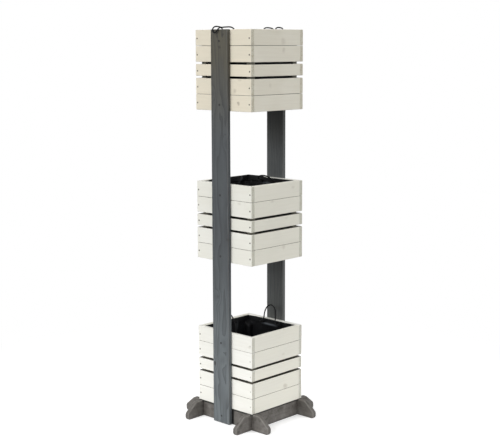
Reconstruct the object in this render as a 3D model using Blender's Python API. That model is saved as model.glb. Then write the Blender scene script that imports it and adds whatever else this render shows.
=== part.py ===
"""Three-tier wooden planter.

Three slatted softwood boxes are screwed between two flat uprights that stand on a base of four
half-lapped boards. Each box holds a black liner that lifts out by two rope handles.
Metres, +Z up, origin on the floor at the middle of the base. Front is -Y and right is +X.
"""

import math

import bmesh
import bpy
from mathutils import Matrix, Vector

# Clearances between pieces
GAP = 0.0003  # pieces that touch
JOINT_LAP = 0.001  # how far shapes that form one piece run into each other

# Box boards
BOX_WIDTH = 0.290  # outside, along X, which is the length of the front and back boards
BOX_DEPTH = 0.286  # outside, along Y
BOARD_THICK = 0.016
BOARD_HEIGHT = 0.060
SLAT_HEIGHT = 0.044  # the narrow middle board
SLOT = 0.008  # the air slot above and below the narrow board
BOARD_EASE = 0.0012
BATTEN_SIDE = 0.022
BATTEN_SIDE_CLEAR = 0.0006
BATTEN_DROP = 0.040  # from the box rim down to the batten tops
FLOOR_THICK = 0.009

# Tiers and uprights
TIER_PITCH = 0.5735
UPRIGHT_WIDTH = 0.086
UPRIGHT_THICK = 0.016
UPRIGHT_FLOOR_CLEAR = 0.002
UPRIGHT_EASE = 0.0018
UPRIGHT_X = {"front": -0.004, "back": 0.0}  # they stand slightly out of line

# Base
BASE_LENGTH = 0.450
BASE_HEIGHT = 0.064
BASE_THICK = 0.018
BASE_SIDE_INSET = 0.005  # from the box's side in to the left and right base boards
BASE_UPRIGHT_GAP = 0.0033  # air between an upright and the base board that it is screwed to
BASE_EASE = 0.0018
FOOT_END_HEIGHT = 0.026  # of the upright end of a foot
FOOT_SLOPE_TOP = 0.046  # from the end of the board to where the slope would meet the top edge
FOOT_TOE_RADIUS = 0.012
FOOT_END_RADIUS = 0.014
FOOT_SHOULDER_RADIUS = 0.020

# Liners
LINER_WALL = 0.0025
LINER_CLEAR = 0.0015
LINER_DROP = 0.001  # from the box rim down to the liner rim
LUG_LENGTH = 0.008  # along the handle's axis
LUG_RADIUS = 0.005
LUG_RUNNING_CLEAR = 0.00035

# Rope handles
ROPE_RADIUS = 0.0025
ROPE_STEP = 0.005
HANDLE_SPREAD = 0.062  # between the two legs
HANDLE_BEND = 0.0105  # where a leg turns into its lug
LUG_SIDE_CLEAR = 0.002
ROPE_END_SHOW = 0.002
AXIS_DROP = 0.013  # from the liner rim down to the handle's axis
AXIS_INSET = 0.015  # from the inner face of the wall to the handle's axis
ROPE_REST_CLEAR = 0.0008

# How finely curved shapes are divided
LUG_STEPS = 6
BORE_SEGMENTS = 16
FOOT_STEPS = {"toe": 5, "end": 3, "shoulder": 4}
BEND_STEPS = 4
ROPE_BEVEL_STEPS = 2
SAME = 1e-6  # coordinates this close are equal

TIERS = ("lower", "middle", "upper")
ROW_HEIGHTS = {"board": BOARD_HEIGHT, "slat": SLAT_HEIGHT}
ROWS = (
    ("board", GAP),
    ("board", SLOT),
    ("slat", SLOT),
    ("board", GAP),
    ("board", 0.0),
)  # from the rim down: what the row is, and the space under it
BOX_HEIGHT = sum(ROW_HEIGHTS[kind] + space for kind, space in ROWS)
INNER_HALF_X = BOX_WIDTH / 2 - BOARD_THICK
INNER_HALF_Y = BOX_DEPTH / 2 - BOARD_THICK
AXIS_Y = INNER_HALF_Y - AXIS_INSET
RIM_OVER_AXIS = LINER_DROP + AXIS_DROP
UPRIGHT_INNER_Y = BOX_DEPTH / 2 + GAP
BASE_X = BOX_WIDTH / 2 - BASE_SIDE_INSET - BASE_THICK / 2  # middle of a left or right base board
BASE_Y = UPRIGHT_INNER_Y - BASE_UPRIGHT_GAP - BASE_THICK / 2  # middle of a front or back one


def clear_scene():
    for obj in list(bpy.data.objects):
        bpy.data.objects.remove(obj, do_unlink=True)


def material(name, colour, roughness):
    made = bpy.data.materials.new(name)
    made.use_nodes = True
    shader = made.node_tree.nodes["Principled BSDF"]
    shader.inputs["Base Color"].default_value = (*colour, 1.0)
    shader.inputs["Roughness"].default_value = roughness
    made.diffuse_color = (*colour, 1.0)
    return made


def place(name, data, finish, location=(0, 0, 0), turn=0.0):
    """An object that is one piece of the planter."""
    obj = bpy.data.objects.new(name, data)
    bpy.context.scene.collection.objects.link(obj)
    obj.location = location
    obj.rotation_euler.z = turn
    if finish.name not in data.materials:
        data.materials.append(finish)
    return obj


def block_bmesh(low, high, ease=0.0):
    """A box between two corners, with its edges eased."""
    low, high = Vector(low), Vector(high)
    bm = bmesh.new()
    bmesh.ops.create_cube(bm, size=1.0)
    size, middle = high - low, (low + high) / 2
    bmesh.ops.transform(
        bm, matrix=Matrix.Translation(middle) @ Matrix.Diagonal((*size, 1.0)), verts=bm.verts
    )
    if ease > 0:
        bmesh.ops.bevel(bm, geom=bm.edges[:], offset=ease, segments=1, affect="EDGES")
    return bm


def mesh_of(name, bm):
    bmesh.ops.recalc_face_normals(bm, faces=bm.faces)
    mesh = bpy.data.meshes.new(name)
    bm.to_mesh(mesh)
    bm.free()
    return mesh


def combined(name, first, others, operation):
    """One mesh from a first mesh and others joined to it, or cut from it."""
    scene = bpy.context.scene.collection
    body = bpy.data.objects.new(name, first)
    scene.objects.link(body)
    helpers = []
    for other in others:
        helper = bpy.data.objects.new(name + "_helper", other)
        helper.hide_render = True
        helper.display_type = "WIRE"
        scene.objects.link(helper)
        modifier = body.modifiers.new("join", "BOOLEAN")
        modifier.operation = operation
        modifier.object = helper
        modifier.solver = "EXACT"
        helpers.append(helper)
    bpy.context.view_layer.update()
    graph = bpy.context.evaluated_depsgraph_get()
    result = bpy.data.meshes.new_from_object(body.evaluated_get(graph))
    result.name = name
    for helper in [body, *helpers]:
        bpy.data.objects.remove(helper, do_unlink=True)
    return result


def arc(centre, radius, start, end, steps):
    """Points along an arc, angles in radians."""
    return [
        (
            centre[0] + radius * math.cos(start + (end - start) * i / steps),
            centre[1] + radius * math.sin(start + (end - start) * i / steps),
        )
        for i in range(steps + 1)
    ]


def row_bands():
    """What each row is, with its bottom and top over the bottom of the box, from the rim down."""
    bands, top = [], BOX_HEIGHT
    for kind, space in ROWS:
        low = top - ROW_HEIGHTS[kind]
        bands.append((kind, low, top))
        top = low - space
    return bands


def long_board_mesh(height):
    """A front or back board. It overlaps the ends of the side boards."""
    return mesh_of(
        "long_board",
        block_bmesh(
            (-BOX_WIDTH / 2, -BOARD_THICK / 2, 0),
            (BOX_WIDTH / 2, BOARD_THICK / 2, height),
            BOARD_EASE,
        ),
    )


def side_frame_mesh():
    """Five side boards on the two corner battens that they are nailed to, at the right side."""
    half = INNER_HALF_Y - GAP
    boards = [
        mesh_of(
            "side_board",
            block_bmesh((INNER_HALF_X, -half, low), (BOX_WIDTH / 2, half, high), BOARD_EASE),
        )
        for _, low, high in row_bands()
    ]
    outer, foot, top = INNER_HALF_Y - BATTEN_SIDE_CLEAR, FLOOR_THICK + GAP, BOX_HEIGHT - BATTEN_DROP
    battens = []
    for side in (-1, 1):
        near, far = sorted((side * outer, side * (outer - BATTEN_SIDE)))
        battens.append(
            mesh_of(
                "batten",
                block_bmesh(
                    (INNER_HALF_X - BATTEN_SIDE, near, foot),
                    (INNER_HALF_X + JOINT_LAP, far, top),
                ),
            )
        )
    return combined("side_frame", battens[0], [*boards, battens[1]], "UNION")


def floor_mesh():
    half_x, half_y = INNER_HALF_X - GAP, INNER_HALF_Y - GAP
    return mesh_of(
        "floor_board", block_bmesh((-half_x, -half_y, 0), (half_x, half_y, FLOOR_THICK))
    )


def notched_ring(half_x, half_y, notch, square):
    """Twelve points round a liner: a corner steps in round its batten, or is square over it."""
    ring = []
    for sx, sy in ((1, 1), (-1, 1), (-1, -1), (1, -1)):
        corner = 0.0 if square else notch
        trio = [
            (sx * half_x, sy * (half_y - notch)),
            (sx * (half_x - corner), sy * (half_y - corner)),
            (sx * (half_x - notch), sy * half_y),
        ]
        ring += trio if sx * sy > 0 else trio[::-1]
    return ring


def liner_mesh():
    """An open liner that rests on the floor, with a square rim over the batten tops and four lugs."""
    notch = BATTEN_SIDE + LINER_CLEAR
    half_x, half_y = INNER_HALF_X - LINER_CLEAR, INNER_HALF_Y - LINER_CLEAR
    bottom, rim = FLOOR_THICK + GAP, BOX_HEIGHT - LINER_DROP
    shoulder = BOX_HEIGHT - BATTEN_DROP + LINER_CLEAR
    bm = bmesh.new()

    def ring(inset, z, square):
        points = notched_ring(half_x - inset, half_y - inset, notch, square)
        return [bm.verts.new((x, y, z)) for x, y in points]

    def bridge(one, other):
        for i in range(len(one)):
            j = (i + 1) % len(one)
            if one[i] is other[i] and one[j] is other[j]:
                continue
            loop = [one[i], one[j], other[j], other[i]]
            bm.faces.new(list(dict.fromkeys(loop)))

    def shell(inset, low):
        floor = ring(inset, low, False)
        waist = ring(inset, shoulder + inset, False)
        over = [
            vert if i % 3 != 1 else bm.verts.new((*point, shoulder + inset))
            for i, (vert, point) in enumerate(
                zip(waist, notched_ring(half_x - inset, half_y - inset, notch, True), strict=True)
            )
        ]
        top = ring(inset, rim, True)
        bm.faces.new(floor)
        bridge(floor, waist)
        for k in range(1, len(waist), 3):
            bm.faces.new([waist[k - 1], waist[k], waist[k + 1], over[k]])
        bridge(over, top)
        return top

    bridge(shell(0.0, bottom), shell(LINER_WALL, bottom + LINER_WALL))
    body = mesh_of("liner", bm)
    lugs = [lug_mesh(side, end) for side in (-1, 1) for end in (-1, 1)]
    joined = combined("liner_with_lugs", body, lugs, "UNION")
    bores = [bore_mesh(side) for side in (-1, 1)]
    return combined("liner", joined, bores, "DIFFERENCE")


def lug_start():
    return HANDLE_SPREAD / 2 + HANDLE_BEND + LUG_SIDE_CLEAR


def lug_mesh(side, end):
    """A rounded ear on the liner's wall that one end of a rope handle turns in."""
    wall = AXIS_INSET - LINER_CLEAR - LINER_WALL + JOINT_LAP
    outline = [(wall, -LUG_RADIUS), (wall, LUG_RADIUS)]
    outline += arc((0, 0), LUG_RADIUS, math.pi / 2, 3 * math.pi / 2, LUG_STEPS)
    bm = bmesh.new()
    near, far = sorted((end * lug_start(), end * (lug_start() + LUG_LENGTH)))
    axis_z = BOX_HEIGHT - RIM_OVER_AXIS
    face = bm.faces.new(
        [bm.verts.new((near, side * (AXIS_Y + v), axis_z + w)) for v, w in outline]
    )
    moved = bmesh.ops.extrude_face_region(bm, geom=[face])["geom"]
    bmesh.ops.translate(
        bm,
        vec=(far - near, 0, 0),
        verts=[item for item in moved if isinstance(item, bmesh.types.BMVert)],
    )
    return mesh_of("lug", bm)


def bore_mesh(side):
    """A cutter along a handle's axis, through both of its lugs."""
    bm = bmesh.new()
    radius = (ROPE_RADIUS + LUG_RUNNING_CLEAR) / math.cos(math.pi / BORE_SEGMENTS)
    bmesh.ops.create_cone(
        bm,
        cap_ends=True,
        segments=BORE_SEGMENTS,
        radius1=radius,
        radius2=radius,
        depth=2 * (lug_start() + 2 * LUG_LENGTH),
        matrix=Matrix.Translation((0, side * AXIS_Y, BOX_HEIGHT - RIM_OVER_AXIS))
        @ Matrix.Rotation(math.pi / 2, 4, "Y"),
    )
    return mesh_of("bore", bm)


def rounded_corner(before, corner, after, radius, steps):
    """Points along the arc that rounds off a corner of an outline."""
    before, corner, after = Vector(before), Vector(corner), Vector(after)
    back, on = (before - corner).normalized(), (after - corner).normalized()
    half = back.angle(on) / 2
    centre = corner + (back + on).normalized() * (radius / math.sin(half))
    first = corner + back * (radius / math.tan(half)) - centre
    last = corner + on * (radius / math.tan(half)) - centre
    turn = first.angle_signed(last)
    return [
        tuple(centre + Matrix.Rotation(-turn * i / steps, 2) @ first) for i in range(steps + 1)
    ]


def foot_outline():
    """The right end of a base board, from its underside round the toe to its top edge."""
    end, slope_top = BASE_LENGTH / 2, BASE_LENGTH / 2 - FOOT_SLOPE_TOP
    under, toe, shoulder = (0, 0), (end, 0), (slope_top, BASE_HEIGHT)
    brow, top = (end, FOOT_END_HEIGHT), (0, BASE_HEIGHT)
    return [
        *rounded_corner(under, toe, brow, FOOT_TOE_RADIUS, FOOT_STEPS["toe"]),
        *rounded_corner(toe, brow, shoulder, FOOT_END_RADIUS, FOOT_STEPS["end"]),
        *rounded_corner(brow, shoulder, top, FOOT_SHOULDER_RADIUS, FOOT_STEPS["shoulder"]),
    ]


def base_board_mesh(crossing, notch_up):
    """A base board along X, with a foot at each end and a half-lap notch at each crossing."""
    right = foot_outline()
    left = [(-x, z) for x, z in reversed(right)]
    half_notch = BASE_THICK / 2 + GAP
    middle_z = BASE_HEIGHT / 2
    depth = middle_z - GAP / 2 if notch_up else middle_z + GAP / 2
    edge = BASE_HEIGHT if notch_up else 0.0

    def notch(x):
        return [(x - half_notch, edge), (x - half_notch, depth), (x + half_notch, depth),
                (x + half_notch, edge)]  # fmt: skip

    notches = notch(-crossing) + notch(crossing)
    outline = right + (notches[::-1] if notch_up else []) + left + ([] if notch_up else notches)
    bm = bmesh.new()
    face = bm.faces.new([bm.verts.new((x, -BASE_THICK / 2, z)) for x, z in outline])
    moved = bmesh.ops.extrude_face_region(bm, geom=[face])["geom"]
    bmesh.ops.translate(
        bm,
        vec=(0, BASE_THICK, 0),
        verts=[item for item in moved if isinstance(item, bmesh.types.BMVert)],
    )
    outer = [
        rim_edge
        for rim_edge in bm.edges
        if abs(rim_edge.verts[0].co.y - rim_edge.verts[1].co.y) < SAME
        and max(abs(vert.co.x) for vert in rim_edge.verts) > crossing + half_notch + BASE_EASE
    ]
    bmesh.ops.bevel(bm, geom=outer, offset=BASE_EASE, segments=1, affect="EDGES")
    return mesh_of("base_board", bm)


def smooth_route(points, step):
    """Points about a step apart on a Catmull-Rom curve through the inner points."""
    made = []
    for before, start, end, after in zip(points, points[1:], points[2:], points[3:]):
        pieces = max(1, round((end - start).length / step))
        for i in range(pieces):
            t = i / pieces
            made.append(
                0.5
                * (
                    2 * start
                    + (end - before) * t
                    + (2 * before - 5 * start + 4 * end - after) * t**2
                    + (3 * start - before - 3 * end + after) * t**3
                )
            )
    return [*made, points[-2]]


def leg_end(side):
    """From a rope's end along its lug's bore and round the bend, to the bottom of the leg."""
    half, turn = HANDLE_SPREAD / 2, HANDLE_BEND
    end = lug_start() + LUG_LENGTH + ROPE_END_SHOW
    run = [Vector((side * end, 0, 0)), Vector((side * (end + half + turn) / 2, 0, 0))]
    for i in range(BEND_STEPS + 1):
        angle = math.pi / 2 * i / BEND_STEPS
        run.append(
            Vector(
                (side * (half + turn * (1 - math.sin(angle))), 0, turn * (1 - math.cos(angle)))
            )
        )
    return run


def handle_route(shape):
    """A rope handle's points about its axis: along the axis, out towards the wall, and up."""
    right, left = leg_end(1), leg_end(-1)
    inner = [Vector(p) / 1000 for p in shape]
    line = [right[-2], right[-1], *inner, left[-1], left[-2]]
    return right[:-1] + smooth_route(line, ROPE_STEP) + left[-2::-1]


def standing_shape():
    """Points in millimetres of a handle that stands as a leaning arch."""
    return [(32, 0, 26), (34, -1, 45), (33.5, -2, 61), (25, -3, 73), (11, -3, 77.5), (-4, -3, 72),
            (-15, -2.5, 60), (-23, -2, 45), (-28, -1, 26)]  # fmt: skip


def slumped_shape():
    """A handle that has slumped inwards, seen square on to its own plane."""
    return [(31.5, -0.2, 20), (34.5, 0, 33), (37, 0.2, 49), (33.5, -0.8, 63), (21.5, -3, 71),
            (5, -5.5, 68), (-11.5, -7, 54.5), (-23, -6, 37), (-29.3, -2.5, 21)]  # fmt: skip


def over_upright():
    """In millimetres, the upright's outer face and the lowest a rope lies over it, from the axis."""
    face = 1000 * (AXIS_INSET + BOARD_THICK + GAP + UPRIGHT_THICK)
    lie = 1000 * (RIM_OVER_AXIS + ROPE_RADIUS + ROPE_REST_CLEAR)
    return face, lie


def draped_shape():
    """A handle that hangs straight over the rim and the upright's top."""
    face, lie = over_upright()
    half = [(31, 1.5, 16), (30.6, 5.6, lie + 2.8), (30, 12, lie + 4.9), (29, 22, lie + 5.4),
            (28, face - 13, lie + 4.5), (26, face - 2, lie + 2.2), (22.5, face + 5.2, lie - 4.8),
            (13, face + 7.2, lie - 12.4), (0, face + 7.7, lie - 14.8)]  # fmt: skip
    return half + [(-u, v, w) for u, v, w in half[-2::-1]]


def draped_aside_shape():
    """A handle that hangs over the rim and the upright's top, pulled to one side."""
    face, lie = over_upright()
    return [(31, 1.5, 16), (30.7, 5.6, lie + 2.9), (30.4, 12.5, lie + 5.5), (30.5, 25, lie + 7),
            (31, 37, lie + 7.3), (31.7, face - 0.5, lie + 2.8), (30.9, face + 5.2, lie - 5),
            (26, face + 7, lie - 12.8), (18.5, face + 7.4, lie - 15.6), (11, face + 6.8, lie - 12.8),
            (5, face + 4.8, lie - 5), (1.2, face - 2, lie + 2.4), (-3, face - 13, lie + 3.8),
            (-9.5, 20.5, lie + 5), (-18, 11, lie + 5.2), (-25.4, 5.2, lie + 2.6),
            (-30, 1.6, 15.6)]  # fmt: skip


def handle(name, shape, lean, side, axis_z, finish):
    """A rope handle as a tube, with its origin on its own axis. It leans inwards by degrees."""
    data = bpy.data.curves.new(name, "CURVE")
    data.dimensions = "3D"
    data.bevel_depth = ROPE_RADIUS
    data.bevel_resolution = ROPE_BEVEL_STEPS
    data.use_fill_caps = True
    lean = Matrix.Rotation(math.radians(lean), 3, "X")
    route = [lean @ point for point in handle_route(shape)]
    spline = data.splines.new("POLY")
    spline.points.add(len(route) - 1)
    for point, where in zip(spline.points, route, strict=True):
        point.co = (*where, 1.0)
    turn = 0.0 if side > 0 else math.pi
    return place(name, data, finish, (0, side * AXIS_Y, axis_z), turn)


def build_box(tier, bottom, finishes, meshes, shapes):
    """One tier's box, liner and handles."""
    wood, liner, rope = finishes
    for row, (kind, low, _) in enumerate(row_bands(), start=1):
        for side, word in ((-1, "front"), (1, "back")):
            where = (0, side * (BOX_DEPTH - BOARD_THICK) / 2, bottom + low)
            place(f"{tier}_{word}_board_{row}", meshes[kind], wood, where)
    for word, turn in (("right", 0.0), ("left", math.pi)):
        place(f"{tier}_{word}_side", meshes["side"], wood, (0, 0, bottom), turn)
    place(f"{tier}_floor", meshes["floor"], wood, (0, 0, bottom))
    place(f"{tier}_liner", meshes["liner"], liner, (0, 0, bottom))
    axis_z = bottom + BOX_HEIGHT - RIM_OVER_AXIS
    for side, word in ((-1, "front"), (1, "back")):
        handle(f"{tier}_{word}_handle", *shapes[word], side, axis_z, rope)


def build_uprights(top, finish):
    height = top - UPRIGHT_FLOOR_CLEAR
    data = mesh_of(
        "upright",
        block_bmesh(
            (-UPRIGHT_WIDTH / 2, -UPRIGHT_THICK / 2, 0),
            (UPRIGHT_WIDTH / 2, UPRIGHT_THICK / 2, height),
            UPRIGHT_EASE,
        ),
    )
    for side, word in ((-1, "front"), (1, "back")):
        y = side * (UPRIGHT_INNER_Y + UPRIGHT_THICK / 2)
        place(f"{word}_upright", data, finish, (UPRIGHT_X[word], y, UPRIGHT_FLOOR_CLEAR))


def build_base(finish):
    along_x, along_y = base_board_mesh(BASE_X, True), base_board_mesh(BASE_Y, False)
    for side, word in ((-1, "front"), (1, "back")):
        place(f"base_{word}_board", along_x, finish, (0, side * BASE_Y, 0))
    for side, word in ((-1, "left"), (1, "right")):
        place(f"base_{word}_board", along_y, finish, (side * BASE_X, 0, 0), math.pi / 2)


def main():
    clear_scene()
    white = material("whitewashed_pine", (0.80, 0.77, 0.70), 0.6)
    grey = material("grey_stained_pine", (0.11, 0.12, 0.125), 0.65)
    black = material("black_liner", (0.012, 0.012, 0.014), 0.5)
    rope = material("black_rope", (0.01, 0.01, 0.01), 0.7)
    meshes = {
        "board": long_board_mesh(BOARD_HEIGHT),
        "slat": long_board_mesh(SLAT_HEIGHT),
        "side": side_frame_mesh(),
        "floor": floor_mesh(),
        "liner": liner_mesh(),
    }
    shapes = {
        "lower": {"front": (standing_shape(), 0), "back": (standing_shape(), 0)},
        "middle": {"front": (standing_shape(), 180), "back": (slumped_shape(), 62)},
        "upper": {"front": (draped_aside_shape(), 0), "back": (draped_shape(), 0)},
    }
    first = BASE_HEIGHT + GAP
    for number, tier in enumerate(TIERS):
        build_box(tier, first + number * TIER_PITCH, (white, black, rope), meshes, shapes[tier])
    build_uprights(first + (len(TIERS) - 1) * TIER_PITCH + BOX_HEIGHT, grey)
    build_base(grey)


main()
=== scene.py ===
"""Looks of a three-tier wooden planter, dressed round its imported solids.

Three slatted boxes with a thin white wash hang between two grey stained uprights on a base of
crossed boards. Each box holds a black sheet liner with two cord handles. Lengths are metres
unless a name says millimetres. -Y is the front, +X is right and +Z is up.
"""

import logging
from collections.abc import Callable
from dataclasses import dataclass, field
from enum import Enum
from math import cos, exp, hypot, pi, radians, sin, tan
from typing import Any

import bmesh
import bpy
from bpy.types import ID, Material, Mesh, Node, NodeSocket, NodeTree, Object
from mathutils import Matrix, Vector, noise

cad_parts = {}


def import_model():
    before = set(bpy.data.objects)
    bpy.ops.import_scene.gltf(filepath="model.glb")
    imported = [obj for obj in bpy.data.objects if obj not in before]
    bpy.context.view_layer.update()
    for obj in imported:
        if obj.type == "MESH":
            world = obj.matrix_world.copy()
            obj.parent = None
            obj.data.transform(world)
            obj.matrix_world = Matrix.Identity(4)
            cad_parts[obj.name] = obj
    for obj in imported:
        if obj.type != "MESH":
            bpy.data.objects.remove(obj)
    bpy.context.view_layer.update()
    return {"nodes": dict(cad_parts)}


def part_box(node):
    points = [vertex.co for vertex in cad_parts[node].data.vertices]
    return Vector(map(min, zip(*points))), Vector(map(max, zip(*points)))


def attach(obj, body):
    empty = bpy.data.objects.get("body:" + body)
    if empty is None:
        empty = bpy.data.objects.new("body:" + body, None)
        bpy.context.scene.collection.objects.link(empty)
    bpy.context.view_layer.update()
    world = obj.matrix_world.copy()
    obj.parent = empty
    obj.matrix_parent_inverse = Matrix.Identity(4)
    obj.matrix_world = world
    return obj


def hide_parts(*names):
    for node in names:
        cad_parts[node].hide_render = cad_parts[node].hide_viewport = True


frame: dict[str, Any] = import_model()

LOG = logging.getLogger("planter")
MM = 0.001
# Keeps a divisor off zero
TINY = 1e-6

# The kinds of node that are used most
MATH, VECTOR_MATH, MIX = "ShaderNodeMath", "ShaderNodeVectorMath", "ShaderNodeMix"
RAMP, NOISE, ATTRIBUTE = "ShaderNodeMapRange", "ShaderNodeTexNoise", "ShaderNodeAttribute"
COMBINE, SEPARATE = "ShaderNodeCombineXYZ", "ShaderNodeSeparateXYZ"
# Places of the sockets on a Mix node, whose colour and number sockets share their names
FACTOR, COLOUR_A, COLOUR_B, COLOUR_OUT = 0, 6, 7, 2
# Places of the number sockets on a geometry tree's Random Value node
RANDOM_HIGH, RANDOM_SEED, RANDOM_OUT = 3, 8, 1
# Places of the vector sockets on the same node
RANDOM_LOW_VECTOR, RANDOM_HIGH_VECTOR, RANDOM_OUT_VECTOR = 0, 1, 0

# Added to a tree's seed for its second draw
NEXT_DRAW = 17.0
# The arms of a screw's cross, as shares of its head's radius
ARM_LENGTH, ARM_WIDTH = 1.15, 0.3
# Where the axis of a pair of lugs lies in a liner, and how long each lug is
AXIS_INSET, AXIS_DROP, WALL_CLEAR, LUG_LENGTH = 15 * MM, 13 * MM, 1.5 * MM, 8 * MM
WHITE = (1.0, 1.0, 1.0, 1.0)

# A range, a scale or a point of an outline, and a point of the planter
Pair = tuple[float, float]
Triple = tuple[float, float, float]


class Tier(Enum):
    """The three boxes, by the word that their nodes' names start with."""

    LOWER = "lower"
    MIDDLE = "middle"
    UPPER = "upper"


class Face(Enum):
    """The four faces of a box, each with the direction that it looks in."""

    FRONT = (0.0, -1.0, 0.0)
    BACK = (0.0, 1.0, 0.0)
    LEFT = (-1.0, 0.0, 0.0)
    RIGHT = (1.0, 0.0, 0.0)

    @property
    def word(self) -> str:
        """The face's word in a node's name."""
        return self.name.lower()


class Grain(Enum):
    """Which way a board's grain runs, as the turn that brings it along X."""

    ALONG_X = (0.0, 0.0, 0.0)
    ALONG_Y = (0.0, 0.0, -pi / 2)
    ALONG_Z = (0.0, pi / 2, 0.0)


def linear(hex_colour: str) -> tuple[float, ...]:
    """Turns an sRGB colour into the linear one that shaders take.

    Args:
        hex_colour: The colour as "#rrggbb".

    Returns:
        Red, green, blue and an alpha of 1.
    """
    channels = [int(hex_colour[i : i + 2], 16) / 255 for i in (1, 3, 5)]
    curve = [c / 12.92 if c <= 0.04045 else ((c + 0.055) / 1.055) ** 2.4 for c in channels]
    return (*curve, 1.0)


def add_node(tree: NodeTree, kind: str, inputs: dict[Any, Any] | None = None, **settings: Any) -> Node:
    """Adds a node with its settings, and links or sets its inputs.

    Args:
        tree: The shader or geometry tree.
        kind: The node's type.
        inputs: By name or place, each input's value, or the socket or node that feeds it.
        settings: The node's own properties.

    Returns:
        The new node.
    """
    node = tree.nodes.new(kind)
    for label, value in settings.items():
        setattr(node, label, value)
    for label, value in (inputs or {}).items():
        if isinstance(value, Node):
            value = value.outputs[0]
        if isinstance(value, NodeSocket):
            tree.links.new(value, node.inputs[label])
        else:
            node.inputs[label].default_value = value
    return node


def start_material(name: str) -> tuple[Material, NodeTree, Node]:
    """Makes a material that holds a Principled shader.

    Args:
        name: The material's name.

    Returns:
        The material, its tree and its shader.
    """
    made = bpy.data.materials.new(name)
    made.use_nodes = True
    return made, made.node_tree, made.node_tree.nodes["Principled BSDF"]


def new_tree(name: str, inputs: dict[str, str]) -> tuple[NodeTree, Node, Node]:
    """Starts a geometry tree that takes and gives geometry.

    Args:
        name: The tree's name.
        inputs: Each further input's name and socket type.

    Returns:
        The tree, its input node and its output node.
    """
    tree = bpy.data.node_groups.new(name, "GeometryNodeTree")
    face = tree.interface
    face.new_socket("Geometry", in_out="INPUT", socket_type="NodeSocketGeometry")
    for label, kind in inputs.items():
        face.new_socket(label, in_out="INPUT", socket_type=kind)
    face.new_socket("Geometry", in_out="OUTPUT", socket_type="NodeSocketGeometry")
    return tree, tree.nodes.new("NodeGroupInput"), tree.nodes.new("NodeGroupOutput")


def points_mesh(name: str, points: list[Vector], sizes: list[Vector] | None = None) -> Mesh:
    """Makes the loose points that a geometry tree grows pieces on.

    Args:
        name: The mesh's name.
        points: Where the pieces go.
        sizes: Each piece's length along X, Y and Z, where the tree reads them.

    Returns:
        A mesh of vertices only.
    """
    mesh = bpy.data.meshes.new(name)
    mesh.from_pydata([tuple(p) for p in points], [], [])
    if sizes:
        attribute = mesh.attributes.new("size", "FLOAT_VECTOR", "POINT")
        attribute.data.foreach_set("vector", [c for size in sizes for c in size])
    return mesh


def placed(name: str, data: ID) -> Object:
    """Puts a finished mesh, lamp or camera in the scene, at the origin."""
    obj = bpy.data.objects.new(name, data)
    data.name = name
    bpy.context.scene.collection.objects.link(obj)
    return obj


def piece_of(name: str, bm: bmesh.types.BMesh) -> Object:
    """Puts what a bmesh holds in the scene, at the origin, and frees the bmesh."""
    mesh = bpy.data.meshes.new(name)
    bm.to_mesh(mesh)
    bm.free()
    return placed(name, mesh)


def settled(obj: Object) -> Object:
    """Applies an object's modifiers and gives it back as a plain mesh object.

    Args:
        obj: The object, at the origin.

    Returns:
        A new object of the same name.
    """
    bpy.context.view_layer.update()
    graph = bpy.context.evaluated_depsgraph_get()
    mesh = bpy.data.meshes.new_from_object(obj.evaluated_get(graph))
    name = obj.name
    bpy.data.objects.remove(obj, do_unlink=True)
    return placed(name, mesh)


def thickened(obj: Object, thick: float) -> Object:
    """Gives a sheet its thickness, inwards, as a plain mesh object."""
    solid = obj.modifiers.new("thickness", "SOLIDIFY")
    solid.thickness, solid.offset = thick, -1.0
    return settled(obj)


def round_edges(obj: Object, width: float, steps: int) -> None:
    """Adds a Bevel that rounds an object's sharp edges.

    Args:
        obj: The object.
        width: The rounding's width.
        steps: How many strips make the rounding.
    """
    bevel = obj.modifiers.new("round", "BEVEL")
    bevel.width = width
    bevel.segments = steps
    bevel.limit_method = "ANGLE"


def grown(
    name: str,
    seedling: Mesh,
    tree: NodeTree,
    inputs: dict[str, Any],
    rounding: tuple[float, int] | None = None,
) -> Object:
    """Runs a geometry tree on a mesh, and turns what it makes into a plain mesh.

    Args:
        name: The piece's name.
        seedling: The points or edges that the tree works on.
        tree: The geometry tree.
        inputs: The values of its inputs, by name.
        rounding: The width and the strips of the edges' rounding, if they have one.

    Returns:
        The finished piece, at the origin.
    """
    holder = placed(name, seedling)
    modifier = holder.modifiers.new("grow", "NODES")
    modifier.node_group = tree
    for item in tree.interface.items_tree:
        if item.item_type == "SOCKET" and item.in_out == "INPUT" and item.name in inputs:
            modifier[item.identifier] = inputs[item.name]
    if rounding:
        round_edges(holder, *rounding)
    return settled(holder)


def mark_eased(obj: Object, across: Vector | None = None) -> Object:
    """Marks the faces of rounded edges, where a stain wears off and the wash gets a painted highlight,
    and shades them smooth.

    Args:
        obj: A piece of timber.
        across: The direction through the board, where its outline has curves of its own.

    Returns:
        The same object.
    """
    flat_share, rim_share, sharp = 0.999, 0.02, radians(40)
    bm = bmesh.new()
    bm.from_mesh(obj.data)
    layer = bm.faces.layers.float.new("eased")
    for face in bm.faces:
        if across is None:
            is_eased = max(abs(c) for c in face.normal) < flat_share
        else:
            is_eased = rim_share < abs(face.normal.dot(across)) < flat_share
        face[layer] = float(is_eased)
        face.smooth = True
    for edge in bm.edges:
        marks = {face[layer] for face in edge.link_faces}
        edge.smooth = len(marks) == 1 and edge.calc_face_angle(0.0) <= sharp
    bm.to_mesh(obj.data)
    bm.free()
    return obj


def mark_hidden(obj: Object, below: float) -> Object:
    """Marks the faces that look up or down between boards, for the painted shade on them.

    Args:
        obj: The boards.
        below: The height that the marked faces stay under.

    Returns:
        The same object.
    """
    flat_share = 0.9
    marks = [
        float(abs(face.normal.z) > flat_share and face.center.z < below)
        for face in obj.data.polygons
    ]
    obj.data.attributes.new("hidden", "FLOAT", "FACE").data.foreach_set("value", marks)
    return obj


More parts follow.
